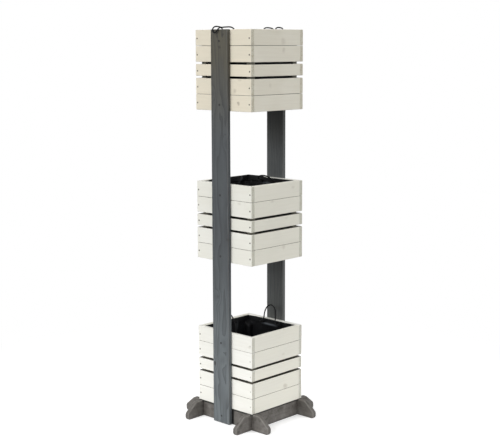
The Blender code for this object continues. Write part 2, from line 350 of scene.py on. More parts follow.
def dress(
    obj: Object,
    body: str,
    replaced: tuple[str, ...] = (),
    finish: Material | None = None,
) -> Object:
    """Gives a piece its body, and hides the nodes that it stands for.

    Args:
        obj: The piece, at the origin.
        body: The body that it moves with.
        replaced: The CAD nodes that it stands for.
        finish: Its material, unless its mesh has one.

    Returns:
        The same object.
    """
    if finish:
        obj.data.materials.clear()
        obj.data.materials.append(finish)
    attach(obj, body)
    if replaced:
        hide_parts(*replaced)
    LOG.info("%s: %d faces, moves with %s", obj.name, len(obj.data.polygons), body)
    return obj


@dataclass(frozen=True)
class Figure:
    """The sockets that carry the figure of sawn softwood, each from 0 to 1."""

    rings: NodeSocket
    fibres: NodeSocket
    knots: NodeSocket
    tone: NodeSocket
    ends: NodeSocket
    eased: NodeSocket
    hidden: NodeSocket
    place: NodeSocket


@dataclass(frozen=True)
class Softwood:
    """The figure of sawn pine: growth rings, fibres and knots, in millimetres."""

    # Real rings are 2 to 4 mm apart and real fibres thinner than a hair: both are drawn coarser,
    # because a pixel of the picture is about 5 mm wide
    ring_mm: float = 13.0
    fibre_mm: float = 4.5
    fibre_length_mm: float = 120.0
    pith_mm: float = 40.0
    pith_wander_mm: float = 150.0
    knot_along_mm: float = 85.0
    knot_across_mm: float = 52.0
    knot_share: float = 0.3
    knot_range: Pair = (0.05, 0.17)
    swirl_range: Pair = (0.1, 0.5)
    warp_mm: float = 46.0
    warp_spot_mm: Pair = (260.0, 55.0)
    late_wood: float = 2.4
    cloud_spot_mm: Pair = (150.0, 60.0)
    cloud_range: Pair = (0.62, 0.38)
    board_share: float = 0.55
    board_spread: float = 9.7
    end_range: Pair = (0.95, 0.6)
    seed_shift: Triple = (713.0, 397.0, 911.0)

    def figure(self, tree: NodeTree, grain: Grain) -> Figure:
        """Draws the figure in a material.

        Args:
            tree: The material's tree.
            grain: Which way the grain runs.

        Returns:
            The figure's sockets.
        """
        coords = add_node(tree, "ShaderNodeTexCoord")
        middle = add_node(tree, ATTRIBUTE, attribute_name="board_middle")
        seed, eased, hidden = (
            add_node(tree, ATTRIBUTE, attribute_name=name).outputs["Fac"]
            for name in ("board_seed", "eased", "hidden")
        )
        local = add_node(
            tree, VECTOR_MATH,
            {0: coords.outputs["Object"], 1: middle.outputs["Vector"]}, operation="SUBTRACT",
        )
        turned = add_node(
            tree, "ShaderNodeMapping",
            {"Vector": local, "Rotation": grain.value, "Scale": (1 / MM,) * 3},
        ).outputs[0]
        seeded = add_node(
            tree, VECTOR_MATH, {0: seed, 1: self.seed_shift, 2: turned}, operation="MULTIPLY_ADD"
        ).outputs[0]

        def stretched(along_mm: float, across_mm: float) -> NodeSocket:
            """Coordinates in which a spot this long and wide measures 1."""
            shrink = (1 / along_mm, 1 / across_mm, 1 / across_mm)
            scaled = add_node(tree, VECTOR_MATH, {0: seeded, 1: shrink}, operation="MULTIPLY")
            return scaled.outputs[0]

        def ranged(value: NodeSocket, near: float, far: float) -> NodeSocket:
            """1 up to the nearer value, falling smoothly to 0 at the farther one."""
            ramp = add_node(
                tree, RAMP,
                {"Value": value, "From Min": near, "From Max": far, "To Min": 1.0, "To Max": 0.0},
                interpolation_type="SMOOTHSTEP",
            )
            return ramp.outputs[0]

        cells = add_node(
            tree, "ShaderNodeTexVoronoi",
            {"Vector": stretched(self.knot_along_mm, self.knot_across_mm), "Scale": 1.0},
        )
        lottery = add_node(tree, "ShaderNodeSeparateColor", {0: cells.outputs["Color"]})
        picked = add_node(
            tree, MATH, {0: lottery.outputs[0], 1: self.knot_share}, operation="LESS_THAN"
        ).outputs[0]
        knots, swirl = (
            add_node(
                tree, MATH, {0: ranged(cells.outputs["Distance"], *reach), 1: picked},
                operation="MULTIPLY",
            ).outputs[0]
            for reach in (self.knot_range, self.swirl_range)
        )

        warp = add_node(tree, NOISE, {"Vector": stretched(*self.warp_spot_mm), "Scale": 1.0})
        wander = add_node(
            tree, MATH, {0: seed, 1: self.pith_wander_mm, 2: -self.pith_wander_mm / 2},
            operation="MULTIPLY_ADD",
        )
        pith = add_node(tree, COMBINE, {1: self.pith_mm, 2: wander})
        from_pith = add_node(
            tree, VECTOR_MATH, {0: turned, 1: (0.0, 1.0, 1.0), 2: pith}, operation="MULTIPLY_ADD"
        )
        radius = add_node(tree, VECTOR_MATH, {0: from_pith}, operation="LENGTH")
        warped = add_node(
            tree, MATH,
            {0: warp, 1: self.warp_mm, 2: radius.outputs["Value"]},
            operation="MULTIPLY_ADD",
        )
        round_knots = add_node(
            tree, MATH, {0: swirl, 1: self.ring_mm, 2: warped}, operation="MULTIPLY_ADD"
        )
        phase = add_node(tree, MATH, {0: round_knots, 1: 1 / self.ring_mm}, operation="MULTIPLY")
        ring = add_node(tree, MATH, {0: phase}, operation="FRACT")
        # Late wood darkens slowly and ends at once, so a ring has one soft side and one sharp
        rings = add_node(tree, MATH, {0: ring, 1: self.late_wood}, operation="POWER")

        fibres = add_node(
            tree, NOISE,
            {"Vector": stretched(self.fibre_length_mm, self.fibre_mm), "Scale": 1.0,
             "Detail": 3.0, "Roughness": 0.6},
        )
        cloud = add_node(
            tree, NOISE, {"Vector": stretched(*self.cloud_spot_mm), "Scale": 1.0, "Detail": 1.0}
        )
        facing = add_node(
            tree, "ShaderNodeMapping",
            {"Vector": coords.outputs["Normal"], "Rotation": grain.value}, vector_type="VECTOR",
        )
        along = add_node(tree, SEPARATE, {0: facing})
        steep = add_node(tree, MATH, {0: along.outputs[0]}, operation="ABSOLUTE")
        # Each board has a tone of its own besides the clouds along it
        own = add_node(tree, MATH, {0: seed, 1: self.board_spread}, operation="MULTIPLY")
        own = add_node(tree, MATH, {0: own}, operation="FRACT")
        shade = add_node(
            tree, MIX,
            {FACTOR: self.board_share, 2: ranged(cloud.outputs[0], *self.cloud_range), 3: own},
            data_type="FLOAT",
        )
        return Figure(
            rings=rings.outputs[0],
            fibres=fibres.outputs[0],
            knots=knots,
            tone=shade.outputs[0],
            ends=ranged(steep.outputs[0], *self.end_range),
            eased=eased,
            hidden=hidden,
            place=coords.outputs["Object"],
        )


@dataclass(frozen=True)
class Mark:
    """A knot or a smudge that the photograph shows, at its place on the planter."""

    place: Triple
    radius: float
    share: float = 0.5
    core: float = 0.2


@dataclass(frozen=True)
class Weather:
    """Blotches that rain and dirt leave on a stain, a darker strip towards the floor, and painted shade.

    The painted shade lies along the top edge under a box and behind an upright.
    """

    dark: str
    pale: str
    # A darker strip towards the floor
    damp: str
    # Painted shade: the near-black along the top edge under a box and behind an upright
    sheltered: str
    blotch_mm: float = 30.0
    dark_share: float = 0.7
    dark_range: Pair = (0.5, 0.68)
    pale_share: float = 0.5
    pale_range: Pair = (0.48, 0.32)
    damp_share: float = 0.6
    damp_height: float = 9 * MM
    sheltered_share: float = 0.9
    box_half: float = 146 * MM
    top_edge: Pair = (56.5 * MM, 58.5 * MM)
    upright_half: Pair = (48 * MM, 45 * MM)


@dataclass(frozen=True)
class TimberFinish:
    """A finish on pine. Each coat's colour is an sRGB hex value."""

    name: str
    grain: Grain
    coat: str
    streak: str
    tint: str
    knot: str
    end: str
    edge: str
    streak_share: float = 0.3
    tint_share: float = 0.3
    knot_share: float = 0.4
    end_share: float = 0.8
    edge_share: float = 0.3
    roughness: float = 0.62
    roughness_spread: float = 0.16
    grain_depth_mm: float = 0.4
    ring_share: float = 0.6
    fibre_share: float = 0.6
    speckle_share: float = 0.3
    speckle_range: Pair = (0.45, 0.62)
    # Painted shade on the faces that look up or down between boards
    hidden_coat: str = ""
    marks: tuple[Mark, ...] = ()
    mark_wander: float = 16 * MM
    wander_scale: float = 60.0
    weather: Weather | None = None
    # A colour towards the top: the front upright's own tone, and painted shade under the upper box on
    # the back one
    coat_high: str = ""
    coat_low: str = ""
    high_range: Pair = (1.05, 1.46)
    low_range: Pair = (0.75, 0.15)
    wood: Softwood = field(default_factory=Softwood)

    def shelter(
        self, tree: NodeTree, place: NodeSocket, climbing: Callable[..., NodeSocket]
    ) -> NodeSocket:
        """A mask of the painted shade along the top edge under a box and behind an upright.

        Args:
            tree: The material's tree.
            place: The place on the planter.
            climbing: Makes a smooth ramp from 0 to 1 between two values.

        Returns:
            The mask's socket.
        """
        weather = self.weather
        both_sides = add_node(tree, VECTOR_MATH, {0: place}, operation="ABSOLUTE")
        parts = add_node(tree, SEPARATE, {0: both_sides})
        out = add_node(tree, MATH, {0: parts.outputs[0], 1: parts.outputs[1]}, operation="MAXIMUM")
        inside = climbing(out.outputs[0], weather.box_half + 1 * MM, weather.box_half)
        top = climbing(parts.outputs[2], *weather.top_edge)
        under_box = add_node(tree, MATH, {0: inside, 1: top}, operation="MULTIPLY")
        behind = climbing(parts.outputs[0], *weather.upright_half)
        mask = add_node(tree, MATH, {0: under_box, 1: behind}, operation="MAXIMUM")
        return mask.outputs[0]

    def build(self) -> Material:
        """Makes the material.

        Returns:
            The material.
        """
        made, tree, shader = start_material(self.name)
        figure = self.wood.figure(tree, self.grain)

        def product(mask: NodeSocket, other: Any) -> NodeSocket:
            """A mask multiplied by another one, or by a number."""
            both = add_node(tree, MATH, {0: mask, 1: other}, operation="MULTIPLY")
            return both.outputs[0]

        def over(below: Any, colour: str, mask: NodeSocket, share: float) -> NodeSocket:
            """Lays a colour over what is there, where a mask says."""
            mixed = add_node(
                tree, MIX,
                {FACTOR: product(mask, share), COLOUR_A: below, COLOUR_B: linear(colour)},
                data_type="RGBA",
            )
            return mixed.outputs[COLOUR_OUT]

        def climbing(value: NodeSocket, begins: float, ends: float) -> NodeSocket:
            """0 where the value is at the first number, rising smoothly to 1 at the second."""
            ramp = add_node(
                tree, RAMP,
                {"Value": value, "From Min": begins, "From Max": ends},
                interpolation_type="SMOOTHSTEP",
            )
            return ramp.outputs[0]

        relief = add_node(
            tree, MATH,
            {0: figure.rings, 1: self.ring_share, 2: product(figure.fibres, self.fibre_share)},
            operation="MULTIPLY_ADD",
        ).outputs[0]
        colour: Any = linear(self.coat)
        height = add_node(tree, SEPARATE, {0: figure.place})
        for coat, stretch in ((self.coat_high, self.high_range), (self.coat_low, self.low_range)):
            if coat:
                colour = over(colour, coat, climbing(height.outputs[2], *stretch), 1.0)
        colour = over(colour, self.tint, figure.tone, self.tint_share)
        weather = self.weather
        if weather:
            cloud = add_node(
                tree, NOISE,
                {"Vector": figure.place, "Scale": 1 / (weather.blotch_mm * MM), "Detail": 4.0,
                 "Roughness": 0.65},
            ).outputs[0]
            dark = climbing(cloud, *weather.dark_range)
            colour = over(colour, weather.dark, dark, weather.dark_share)
            pale = climbing(cloud, *weather.pale_range)
            colour = over(colour, weather.pale, pale, weather.pale_share)
        colour = over(colour, self.streak, relief, self.streak_share)
        colour = over(colour, self.knot, figure.knots, self.knot_share)
        if self.marks:
            drift = add_node(
                tree, NOISE, {"Vector": figure.place, "Scale": self.wander_scale, "Detail": 2.0}
            )
            wander = (self.mark_wander,) * 3
            drifted = add_node(
                tree, VECTOR_MATH,
                {0: drift.outputs["Color"], 1: wander, 2: figure.place}, operation="MULTIPLY_ADD",
            ).outputs[0]
            for mark in self.marks:
                centre = Vector(mark.place) + Vector(wander) / 2
                away = add_node(
                    tree, VECTOR_MATH, {0: drifted, 1: tuple(centre)}, operation="DISTANCE"
                ).outputs["Value"]
                mask = climbing(away, mark.radius, mark.core * mark.radius)
                colour = over(colour, self.knot, mask, mark.share)
        colour = over(colour, self.end, figure.ends, self.end_share)
        speckles = climbing(product(figure.ends, figure.fibres), *self.speckle_range)
        colour = over(colour, self.streak, speckles, self.speckle_share)
        # Paler along the rounded edges: the stain rubs off there, and the white wash gets a painted
        # highlight
        rubbed = product(figure.eased, figure.fibres)
        colour = over(colour, self.edge, rubbed, self.edge_share)
        # Painted shade on the faces between the boards, in the slots
        if self.hidden_coat:
            colour = over(colour, self.hidden_coat, figure.hidden, 1.0)
        if weather:
            # Darker towards the floor
            damp = climbing(height.outputs[2], weather.damp_height, 0.0)
            colour = over(colour, weather.damp, damp, weather.damp_share)
            # Painted shade along the top edge under a box and behind an upright
            sheltered = self.shelter(tree, figure.place, climbing)
            colour = over(colour, weather.sheltered, sheltered, weather.sheltered_share)
        tree.links.new(colour, shader.inputs["Base Color"])
        spread = self.roughness_spread
        dullness = add_node(
            tree, MATH, {0: figure.fibres, 1: spread, 2: self.roughness - spread / 2},
            operation="MULTIPLY_ADD",
        )
        tree.links.new(dullness.outputs[0], shader.inputs["Roughness"])
        bump = add_node(
            tree, "ShaderNodeBump",
            {"Height": relief, "Distance": self.grain_depth_mm * MM, "Strength": 0.5},
        )
        tree.links.new(bump.outputs[0], shader.inputs["Normal"])
        return made


@dataclass(frozen=True)
class WashedPine:
    """Planed pine with one thin coat of white wash, so that the grain shows through it."""

    name: str
    coat: str
    side_coat: str
    streak: str
    tint: str
    end: str
    marks: tuple[Mark, ...] = ()

    def build(self, grain: Grain) -> Material:
        """Makes the finish for boards whose grain runs one way."""
        coat = self.coat if grain is Grain.ALONG_X else self.side_coat
        return TimberFinish(
            name=f"{self.name}_{grain.name.lower()}", grain=grain, coat=coat,
            # The edge colour, paler than the wash, is a painted highlight on the rounded edges
            streak=self.streak, tint=self.tint, knot="#9C907F", end=self.end, edge="#F4F2EA",
            streak_share=0.24, tint_share=0.55, knot_share=0.2, end_share=0.9, edge_share=0.3,
            roughness=0.6, grain_depth_mm=0.2, ring_share=0.22, speckle_share=0.75,
            # Painted shade in the slots, on the faces between the boards
            hidden_coat="#5A564B", marks=self.marks,
        ).build()


@dataclass(frozen=True)
class LinerSheet:
    """Black coated fabric: a faint weave under a coat, with painted sheen on its raised parts and a
    painted highlight along its folds.
    """

    name: str = "black_coated_sheet"
    colour: str = "#0A0B0D"
    # Painted sheen: a paler colour where the cloud that raises the bump is high
    rubbed: str = "#131518"
    # Painted highlight along the folds
    crease: str = "#6A6F74"
    # The weave of such a sheet is about 1 mm, drawn coarser so that it shows close up
    weave_mm: float = 2.4
    weave_share: float = 0.12
    rubbed_range: Pair = (0.5, 0.8)
    cloud_scale: float = 26.0
    relief_mm: float = 2.5
    roughness: float = 0.55
    roughness_spread: float = 0.3
    specular: float = 0.2

    def build(self) -> Material:
        """Makes the material, which reads the sheet's UV map in metres."""
        made, tree, shader = start_material(self.name)
        coords = add_node(tree, "ShaderNodeUVMap", uv_map="sheet")
        turns = 2 * pi / (self.weave_mm * MM)
        scaled = add_node(tree, VECTOR_MATH, {0: coords, 1: (turns,) * 3}, operation="MULTIPLY")
        parts = add_node(tree, SEPARATE, {0: scaled})
        warp = add_node(tree, MATH, {0: parts.outputs[0]}, operation="SINE")
        weft = add_node(tree, MATH, {0: parts.outputs[1]}, operation="SINE")
        weave = add_node(tree, MATH, {0: warp, 1: weft}, operation="MULTIPLY")
        cloud = add_node(
            tree, NOISE,
            {"Vector": coords, "Scale": self.cloud_scale, "Detail": 4.0, "Roughness": 0.6},
        )
        height = add_node(
            tree, MATH, {0: weave, 1: self.weave_share, 2: cloud}, operation="MULTIPLY_ADD"
        )
        bump = add_node(
            tree, "ShaderNodeBump",
            {"Height": height, "Distance": self.relief_mm * MM, "Strength": 0.35},
        )
        tree.links.new(bump.outputs[0], shader.inputs["Normal"])
        # Painted sheen on the crests of the bump's cloud
        low, high = self.rubbed_range
        worn = add_node(tree, RAMP, {"Value": cloud, "From Min": low, "From Max": high})
        mixed = add_node(
            tree, MIX,
            {FACTOR: worn, COLOUR_A: linear(self.colour), COLOUR_B: linear(self.rubbed)},
            data_type="RGBA",
        )
        # Painted highlight along the folds, where the sheet is marked for it
        creased = add_node(
            tree, MIX,
            {FACTOR: add_node(tree, ATTRIBUTE, attribute_name="worn").outputs["Fac"],
             COLOUR_A: mixed.outputs[COLOUR_OUT], COLOUR_B: linear(self.crease)},
            data_type="RGBA",
        )
        tree.links.new(creased.outputs[COLOUR_OUT], shader.inputs["Base Color"])
        spread = self.roughness_spread
        shine = add_node(
            tree, MATH, {0: cloud, 1: spread, 2: self.roughness - spread / 2},
            operation="MULTIPLY_ADD",
        )
        tree.links.new(shine.outputs[0], shader.inputs["Roughness"])
        shader.inputs["Specular IOR Level"].default_value = self.specular
        return made


@dataclass(frozen=True)
class BraidedCord:
    """Black braided polyester: strands that cross in two directions round the cord."""

    name: str = "black_braided_cord"
    colour: str = "#0A0A0B"
    # Painted highlight on the braid's raised strands
    strand: str = "#17181A"
    # A strand of such a braid crosses every 1.5 mm, drawn coarser so that it shows close up
    pitch_mm: float = 3.0
    strands_round: float = 4.0
    relief_mm: float = 0.3
    roughness: float = 0.7
    specular: float = 0.2

    def build(self) -> Material:
        """Makes the material, which reads the cord's UV map: metres along, turns round."""
        made, tree, shader = start_material(self.name)
        coords = add_node(tree, "ShaderNodeUVMap", uv_map="cord")
        scale = (2 * pi / (self.pitch_mm * MM), 2 * pi * self.strands_round, 0.0)
        scaled = add_node(tree, VECTOR_MATH, {0: coords, 1: scale}, operation="MULTIPLY")
        parts = add_node(tree, SEPARATE, {0: scaled})
        crossing = []
        for operation in ("ADD", "SUBTRACT"):
            slant = add_node(tree, MATH, {0: parts.outputs[0], 1: parts.outputs[1]}, operation=operation)
            crossing.append(add_node(tree, MATH, {0: slant}, operation="SINE"))
        braid = add_node(tree, MATH, {0: crossing[0], 1: crossing[1]}, operation="MAXIMUM")
        bump = add_node(
            tree, "ShaderNodeBump",
            {"Height": braid, "Distance": self.relief_mm * MM, "Strength": 0.7},
        )
        tree.links.new(bump.outputs[0], shader.inputs["Normal"])
        # Painted highlight and shade of the braid: paler on the raised strands, darker in the grooves
        # between them
        lit = add_node(tree, RAMP, {"Value": braid, "From Min": -0.4})
        mixed = add_node(
            tree, MIX,
            {FACTOR: lit, COLOUR_A: linear(self.colour), COLOUR_B: linear(self.strand)},
            data_type="RGBA",
        )
        tree.links.new(mixed.outputs[COLOUR_OUT], shader.inputs["Base Color"])
        shader.inputs["Roughness"].default_value = self.roughness
        shader.inputs["Specular IOR Level"].default_value = self.specular
        return made


@dataclass(frozen=True)
class FastenerSteel:
    """Steel of a nail or screw head, dulled and stained by weather in small spots."""

    name: str
    colour: str
    stain: str
    metallic: float = 0.7
    spot_mm: float = 1.6
    roughness: Pair = (0.4, 0.7)

    def build(self) -> Material:
        """Makes the material."""
        made, tree, shader = start_material(self.name)
        coords = add_node(tree, "ShaderNodeTexCoord")
        spots = add_node(
            tree, NOISE,
            {"Vector": coords.outputs["Object"], "Scale": 1 / (self.spot_mm * MM), "Detail": 2.0},
        )
        mixed = add_node(
            tree, MIX,
            {FACTOR: spots, COLOUR_A: linear(self.colour), COLOUR_B: linear(self.stain)},
            data_type="RGBA",
        )
        tree.links.new(mixed.outputs[COLOUR_OUT], shader.inputs["Base Color"])
        shine, dull = self.roughness
        dullness = add_node(tree, RAMP, {"Value": spots, "To Min": shine, "To Max": dull})
        tree.links.new(dullness.outputs[0], shader.inputs["Roughness"])
        shader.inputs["Metallic"].default_value = self.metallic
        return made


def instance_on(
    tree: NodeTree,
    start: Node,
    end: Node,
    points: Node | NodeSocket,
    instance: Node | NodeSocket,
    placing: dict[str, Any],
) -> None:
    """Ends a tree: an instance on each point, made real and given its finish.

    Args:
        tree: The geometry tree.
        start: Its input node, which has a Finish socket.
        end: Its output node.
        points: What carries the instances.
        instance: What is put on each point.
        placing: The instances' turn and scale, by the names of their inputs.
    """
    copies = add_node(
        tree, "GeometryNodeInstanceOnPoints", {"Points": points, "Instance": instance, **placing}
    )
    real = add_node(tree, "GeometryNodeRealizeInstances", {"Geometry": copies})
    finished = add_node(
        tree, "GeometryNodeSetMaterial", {"Geometry": real, "Material": start.outputs["Finish"]}
    )
    tree.links.new(finished.outputs[0], end.inputs[0])


def plank_tree() -> NodeTree:
    """Builds the tree that puts a plank of its own size on each point.

    Returns:
        A tree that reads the points' size, and keeps each plank's middle and a random number on
        it for the grain. Up to Slack comes off a plank's height, so the seams differ.
    """
    tree, start, end = new_tree(
        "planks",
        {"Finish": "NodeSocketMaterial", "Seed": "NodeSocketInt", "Slack": "NodeSocketFloat"},
    )
    place = add_node(tree, "GeometryNodeInputPosition")
    keep_middle = add_node(
        tree, "GeometryNodeStoreNamedAttribute",
        {"Geometry": start, "Name": "board_middle", "Value": place},
        data_type="FLOAT_VECTOR", domain="POINT",
    )
    lottery = add_node(
        tree, "FunctionNodeRandomValue", {RANDOM_SEED: start.outputs["Seed"]}, data_type="FLOAT"
    )
    keep_seed = add_node(
        tree, "GeometryNodeStoreNamedAttribute",
        {"Geometry": keep_middle, "Name": "board_seed", "Value": lottery.outputs[RANDOM_OUT]},
        data_type="FLOAT", domain="POINT",
    )
    size = add_node(tree, "GeometryNodeInputNamedAttribute", {"Name": "size"}, data_type="FLOAT_VECTOR")
    next_seed = add_node(tree, MATH, {0: start.outputs["Seed"], 1: NEXT_DRAW}, operation="ADD")
    slack = add_node(
        tree, "FunctionNodeRandomValue",
        {RANDOM_HIGH: start.outputs["Slack"], RANDOM_SEED: next_seed},
        data_type="FLOAT",
    )
    trim = add_node(tree, COMBINE, {2: slack.outputs[RANDOM_OUT]})
    trimmed = add_node(tree, VECTOR_MATH, {0: size, 1: trim}, operation="SUBTRACT")
    cube = add_node(tree, "GeometryNodeMeshCube")
    instance_on(tree, start, end, keep_seed, cube, {"Scale": trimmed})
    return tree


def nail_tree() -> NodeTree:
    """Builds the tree that drives a nail at each point: a low dome, a little off its mark.

    Returns:
        The tree, for faces that look along Y.
    """
    tree, start, end = new_tree(
        "nails",
        {"Finish": "NodeSocketMaterial", "Seed": "NodeSocketInt", "Radius": "NodeSocketFloat",
         "Rise": "NodeSocketFloat", "Jitter": "NodeSocketFloat"},
    )
    spread = add_node(
        tree, "FunctionNodeRandomValue",
        {RANDOM_LOW_VECTOR: (-1.0, 0.0, -1.0), RANDOM_HIGH_VECTOR: (1.0, 0.0, 1.0),
         RANDOM_SEED: start.outputs["Seed"]},
        data_type="FLOAT_VECTOR",
    )
    shift = add_node(
        tree, VECTOR_MATH,
        {0: spread.outputs[RANDOM_OUT_VECTOR], "Scale": start.outputs["Jitter"]},
        operation="SCALE",
    )
    moved = add_node(tree, "GeometryNodeSetPosition", {"Geometry": start, "Offset": shift})
    dome = add_node(
        tree, "GeometryNodeMeshUVSphere",
        {"Segments": 12, "Rings": 8, "Radius": start.outputs["Radius"]},
    )
    flat = add_node(
        tree, MATH, {0: start.outputs["Rise"], 1: start.outputs["Radius"]}, operation="DIVIDE"
    )
    scale = add_node(tree, COMBINE, {0: 1.0, 1: flat, 2: 1.0})
    smooth = add_node(tree, "GeometryNodeSetShadeSmooth", {"Geometry": dome})
    instance_on(tree, start, end, moved, smooth, {"Scale": scale})
    return tree


def screw_tree() -> NodeTree:
    """Builds the tree that puts a cross-head screw at each point.

    Returns:
        The tree. Turn brings a head's top from up to where it looks.
    """
    tree, start, end = new_tree(
        "screws",
        {"Finish": "NodeSocketMaterial", "Radius": "NodeSocketFloat", "Depth": "NodeSocketFloat",
         "Recess": "NodeSocketFloat", "Turn": "NodeSocketFloat"},
    )
    head = add_node(
        tree, "GeometryNodeMeshCylinder",
        {"Vertices": 20, "Radius": start.outputs["Radius"], "Depth": start.outputs["Depth"]},
    )
    arm, width = (
        add_node(tree, MATH, {0: start.outputs["Radius"], 1: share}, operation="MULTIPLY")
        for share in (ARM_LENGTH, ARM_WIDTH)
    )
    half = add_node(tree, MATH, {0: start.outputs["Depth"], 1: 0.5}, operation="MULTIPLY")
    lift = add_node(tree, COMBINE, {2: half})
    slots = []
    for across, along in ((arm, width), (width, arm)):
        size = add_node(tree, COMBINE, {0: across, 1: along, 2: start.outputs["Recess"]})
        bar = add_node(tree, "GeometryNodeMeshCube", {"Size": size})
        slots.append(add_node(tree, "GeometryNodeTransform", {"Geometry": bar, "Translation": lift}))
    cut = add_node(tree, "GeometryNodeMeshBoolean", {"Mesh 1": head}, operation="DIFFERENCE")
    for bar in slots:
        tree.links.new(bar.outputs[0], cut.inputs["Mesh 2"])
    turn = add_node(tree, COMBINE, {0: start.outputs["Turn"]})
    instance_on(tree, start, end, start, cut, {"Rotation": turn})
    return tree


def stitch_tree() -> NodeTree:
    """Builds the tree that sews along edges: one small thread bump after another.

    Returns:
        The tree.
    """
    tree, start, end = new_tree(
        "stitches",
        {"Finish": "NodeSocketMaterial", "Pitch": "NodeSocketFloat", "Length": "NodeSocketFloat",
         "Radius": "NodeSocketFloat"},
    )
    line = add_node(tree, "GeometryNodeMeshToCurve", {"Mesh": start})
    marks = add_node(
        tree, "GeometryNodeCurveToPoints",
        {"Curve": line, "Length": start.outputs["Pitch"]}, mode="LENGTH",
    )
    turn = add_node(
        tree, "FunctionNodeAlignRotationToVector", {"Vector": marks.outputs["Tangent"]}, axis="Z"
    )
    half = add_node(tree, MATH, {0: start.outputs["Length"], 1: 0.5}, operation="MULTIPLY")
    scale = add_node(tree, COMBINE, {0: start.outputs["Radius"], 1: start.outputs["Radius"], 2: half})
    bead = add_node(tree, "GeometryNodeMeshIcoSphere", {"Radius": 1.0, "Subdivisions": 1})
    smooth = add_node(tree, "GeometryNodeSetShadeSmooth", {"Geometry": bead})
    instance_on(tree, start, end, marks, smooth, {"Rotation": turn, "Scale": scale})
    return tree


@dataclass
class Trees:
    """The trees that make the pieces that repeat."""

    planks: NodeTree = field(default_factory=plank_tree)
    nails: NodeTree = field(default_factory=nail_tree)
    screws: NodeTree = field(default_factory=screw_tree)
    stitches: NodeTree = field(default_factory=stitch_tree)


@dataclass
class Finishes:
    """Every finish on the planter."""

    washed: dict[Tier, dict[Grain, Material]]
    raw: Material
    stained: dict[Face, Material]
    base: dict[Grain, Material]
    sheet: Material
    cord: Material
    nail: Material
    filled_nail: Material
    screw: Material

    @classmethod
    def mixed(cls) -> "Finishes":
        """Makes all the finishes.

        Returns:
            The finishes, with the wash of each tier and face a little different: partly the coats' own
            tone, and partly painted light, darker and yellower on the upper box, where less light falls.
        """
        # Each tier's and face's wash is partly its own tone and partly painted light: the upper box's
        # front is darker and yellower, as less light reaches it
        washes = {
            Tier.LOWER: WashedPine(
                "wash_lower", "#EAEAE5", "#E6E4D8", "#BDB5A4", "#E0DFD6", "#C3C4BA",
                (Mark((0.145, 0.045, 0.136), 17 * MM, 0.35),),
            ),
            Tier.MIDDLE: WashedPine(
                "wash_middle", "#E9E9E2", "#EAE8DC", "#B9B1A0", "#DEDDD1", "#C5C6B9",
                (Mark((0.145, 0.035, 0.69), 15 * MM, 0.25),),
            ),
            Tier.UPPER: WashedPine(
                "wash_upper", "#E7DFCC", "#EAE7DA", "#AFA289", "#DAD4C2", "#CCCABB",
                (
                    Mark((0.081, -0.143, 1.241), 10 * MM, 0.65),
                    Mark((0.063, -0.143, 1.288), 13 * MM, 0.35),
                    Mark((0.145, 0.032, 1.468), 20 * MM, 0.22),
                    Mark((0.145, 0.035, 1.435), 13 * MM, 0.22),
                    Mark((0.145, -0.042, 1.306), 13 * MM, 0.15),
                ),
            ),
        }
        return cls(
            washed={
                tier: {grain: wash.build(grain) for grain in (Grain.ALONG_X, Grain.ALONG_Y)}
                for tier, wash in washes.items()
            },
            # Unpainted pine, grey and dark: partly its own weathered tone, and partly painted shade for
            # the slots that it shows through
            raw=TimberFinish(
                name="raw_pine", grain=Grain.ALONG_Z, coat="#7D7B6E", streak="#5F5C50",
                tint="#716E61", knot="#4A4438", end="#6A675B", edge="#8B897C",
                roughness=0.55, grain_depth_mm=0.3,
            ).build(),
            # A grey-blue stain that has soaked in: the late wood stays darker and browner
            stained={
                Face.FRONT: TimberFinish(
                    name="grey_stain_front", grain=Grain.ALONG_Z, coat="#4B5053",
                    coat_high="#555142", coat_low="#6A7174", streak="#1D1F23", tint="#43474B",
                    knot="#1A1714", end="#3A3A38", edge="#7C7A76", streak_share=0.68,
                    tint_share=0.55, knot_share=0.85, edge_share=0.35,
                    marks=(
                        Mark((-0.014, -0.159, 1.486), 9 * MM, 0.6),
                        Mark((0.001, -0.159, 1.447), 10 * MM, 0.5),
                        Mark((0.018, -0.159, 1.491), 8 * MM, 0.5),
                        Mark((0.037, -0.159, 0.729), 11 * MM, 0.4),
                    ),
                ).build(),
                Face.BACK: TimberFinish(
                    name="grey_stain_back", grain=Grain.ALONG_Z, coat="#565A5B",
                    # Its dark top, from 1.0 m to 1.16 m, is painted shade under the upper box
                    coat_high="#373A36", coat_low="#60625F", high_range=(1.0, 1.16),
                    streak="#262828", tint="#4A4C4C",
                    knot="#1D1A17", end="#333331", edge="#6B6A66", streak_share=0.55,
                    tint_share=0.5, knot_share=0.8, edge_share=0.4,
                ).build(),
            },
            # The same stain on the base, browner where water and dirt have weathered it, with painted
            # shade under the boxes and behind the uprights
            base={
                grain: TimberFinish(
                    name=f"worn_stain_{grain.name.lower()}", grain=grain, coat="#66635F",
                    streak="#3B3834", tint="#5B5650", knot="#2C2620", end="#56534F",
                    edge="#9A9691", streak_share=0.4, tint_share=0.5, knot_share=0.7,
                    edge_share=0.35, roughness=0.66,
                    weather=Weather(
                        # The near-black is painted shade under the boxes and behind the uprights
                        dark="#3A362F", pale="#807D7A", damp="#3A3836", sheltered="#141312"
                    ),
                ).build()
                for grain in (Grain.ALONG_X, Grain.ALONG_Y)
            },
            sheet=LinerSheet().build(),
            cord=BraidedCord().build(),
            nail=FastenerSteel("nail_steel", "#33312F", "#221F1D", metallic=0.3).build(),
            filled_nail=FastenerSteel("filled_nail_steel", "#C4C3BB", "#AFAEA6", metallic=0.0).build(),
            screw=FastenerSteel("screw_steel", "#0F1011", "#0A0A0A", metallic=0.1).build(),
        )


def middle_and_size(node: str) -> tuple[Vector, Vector]:
    """A CAD node's middle and its length along X, Y and Z."""
    low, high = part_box(node)
    return (low + high) / 2, high - low


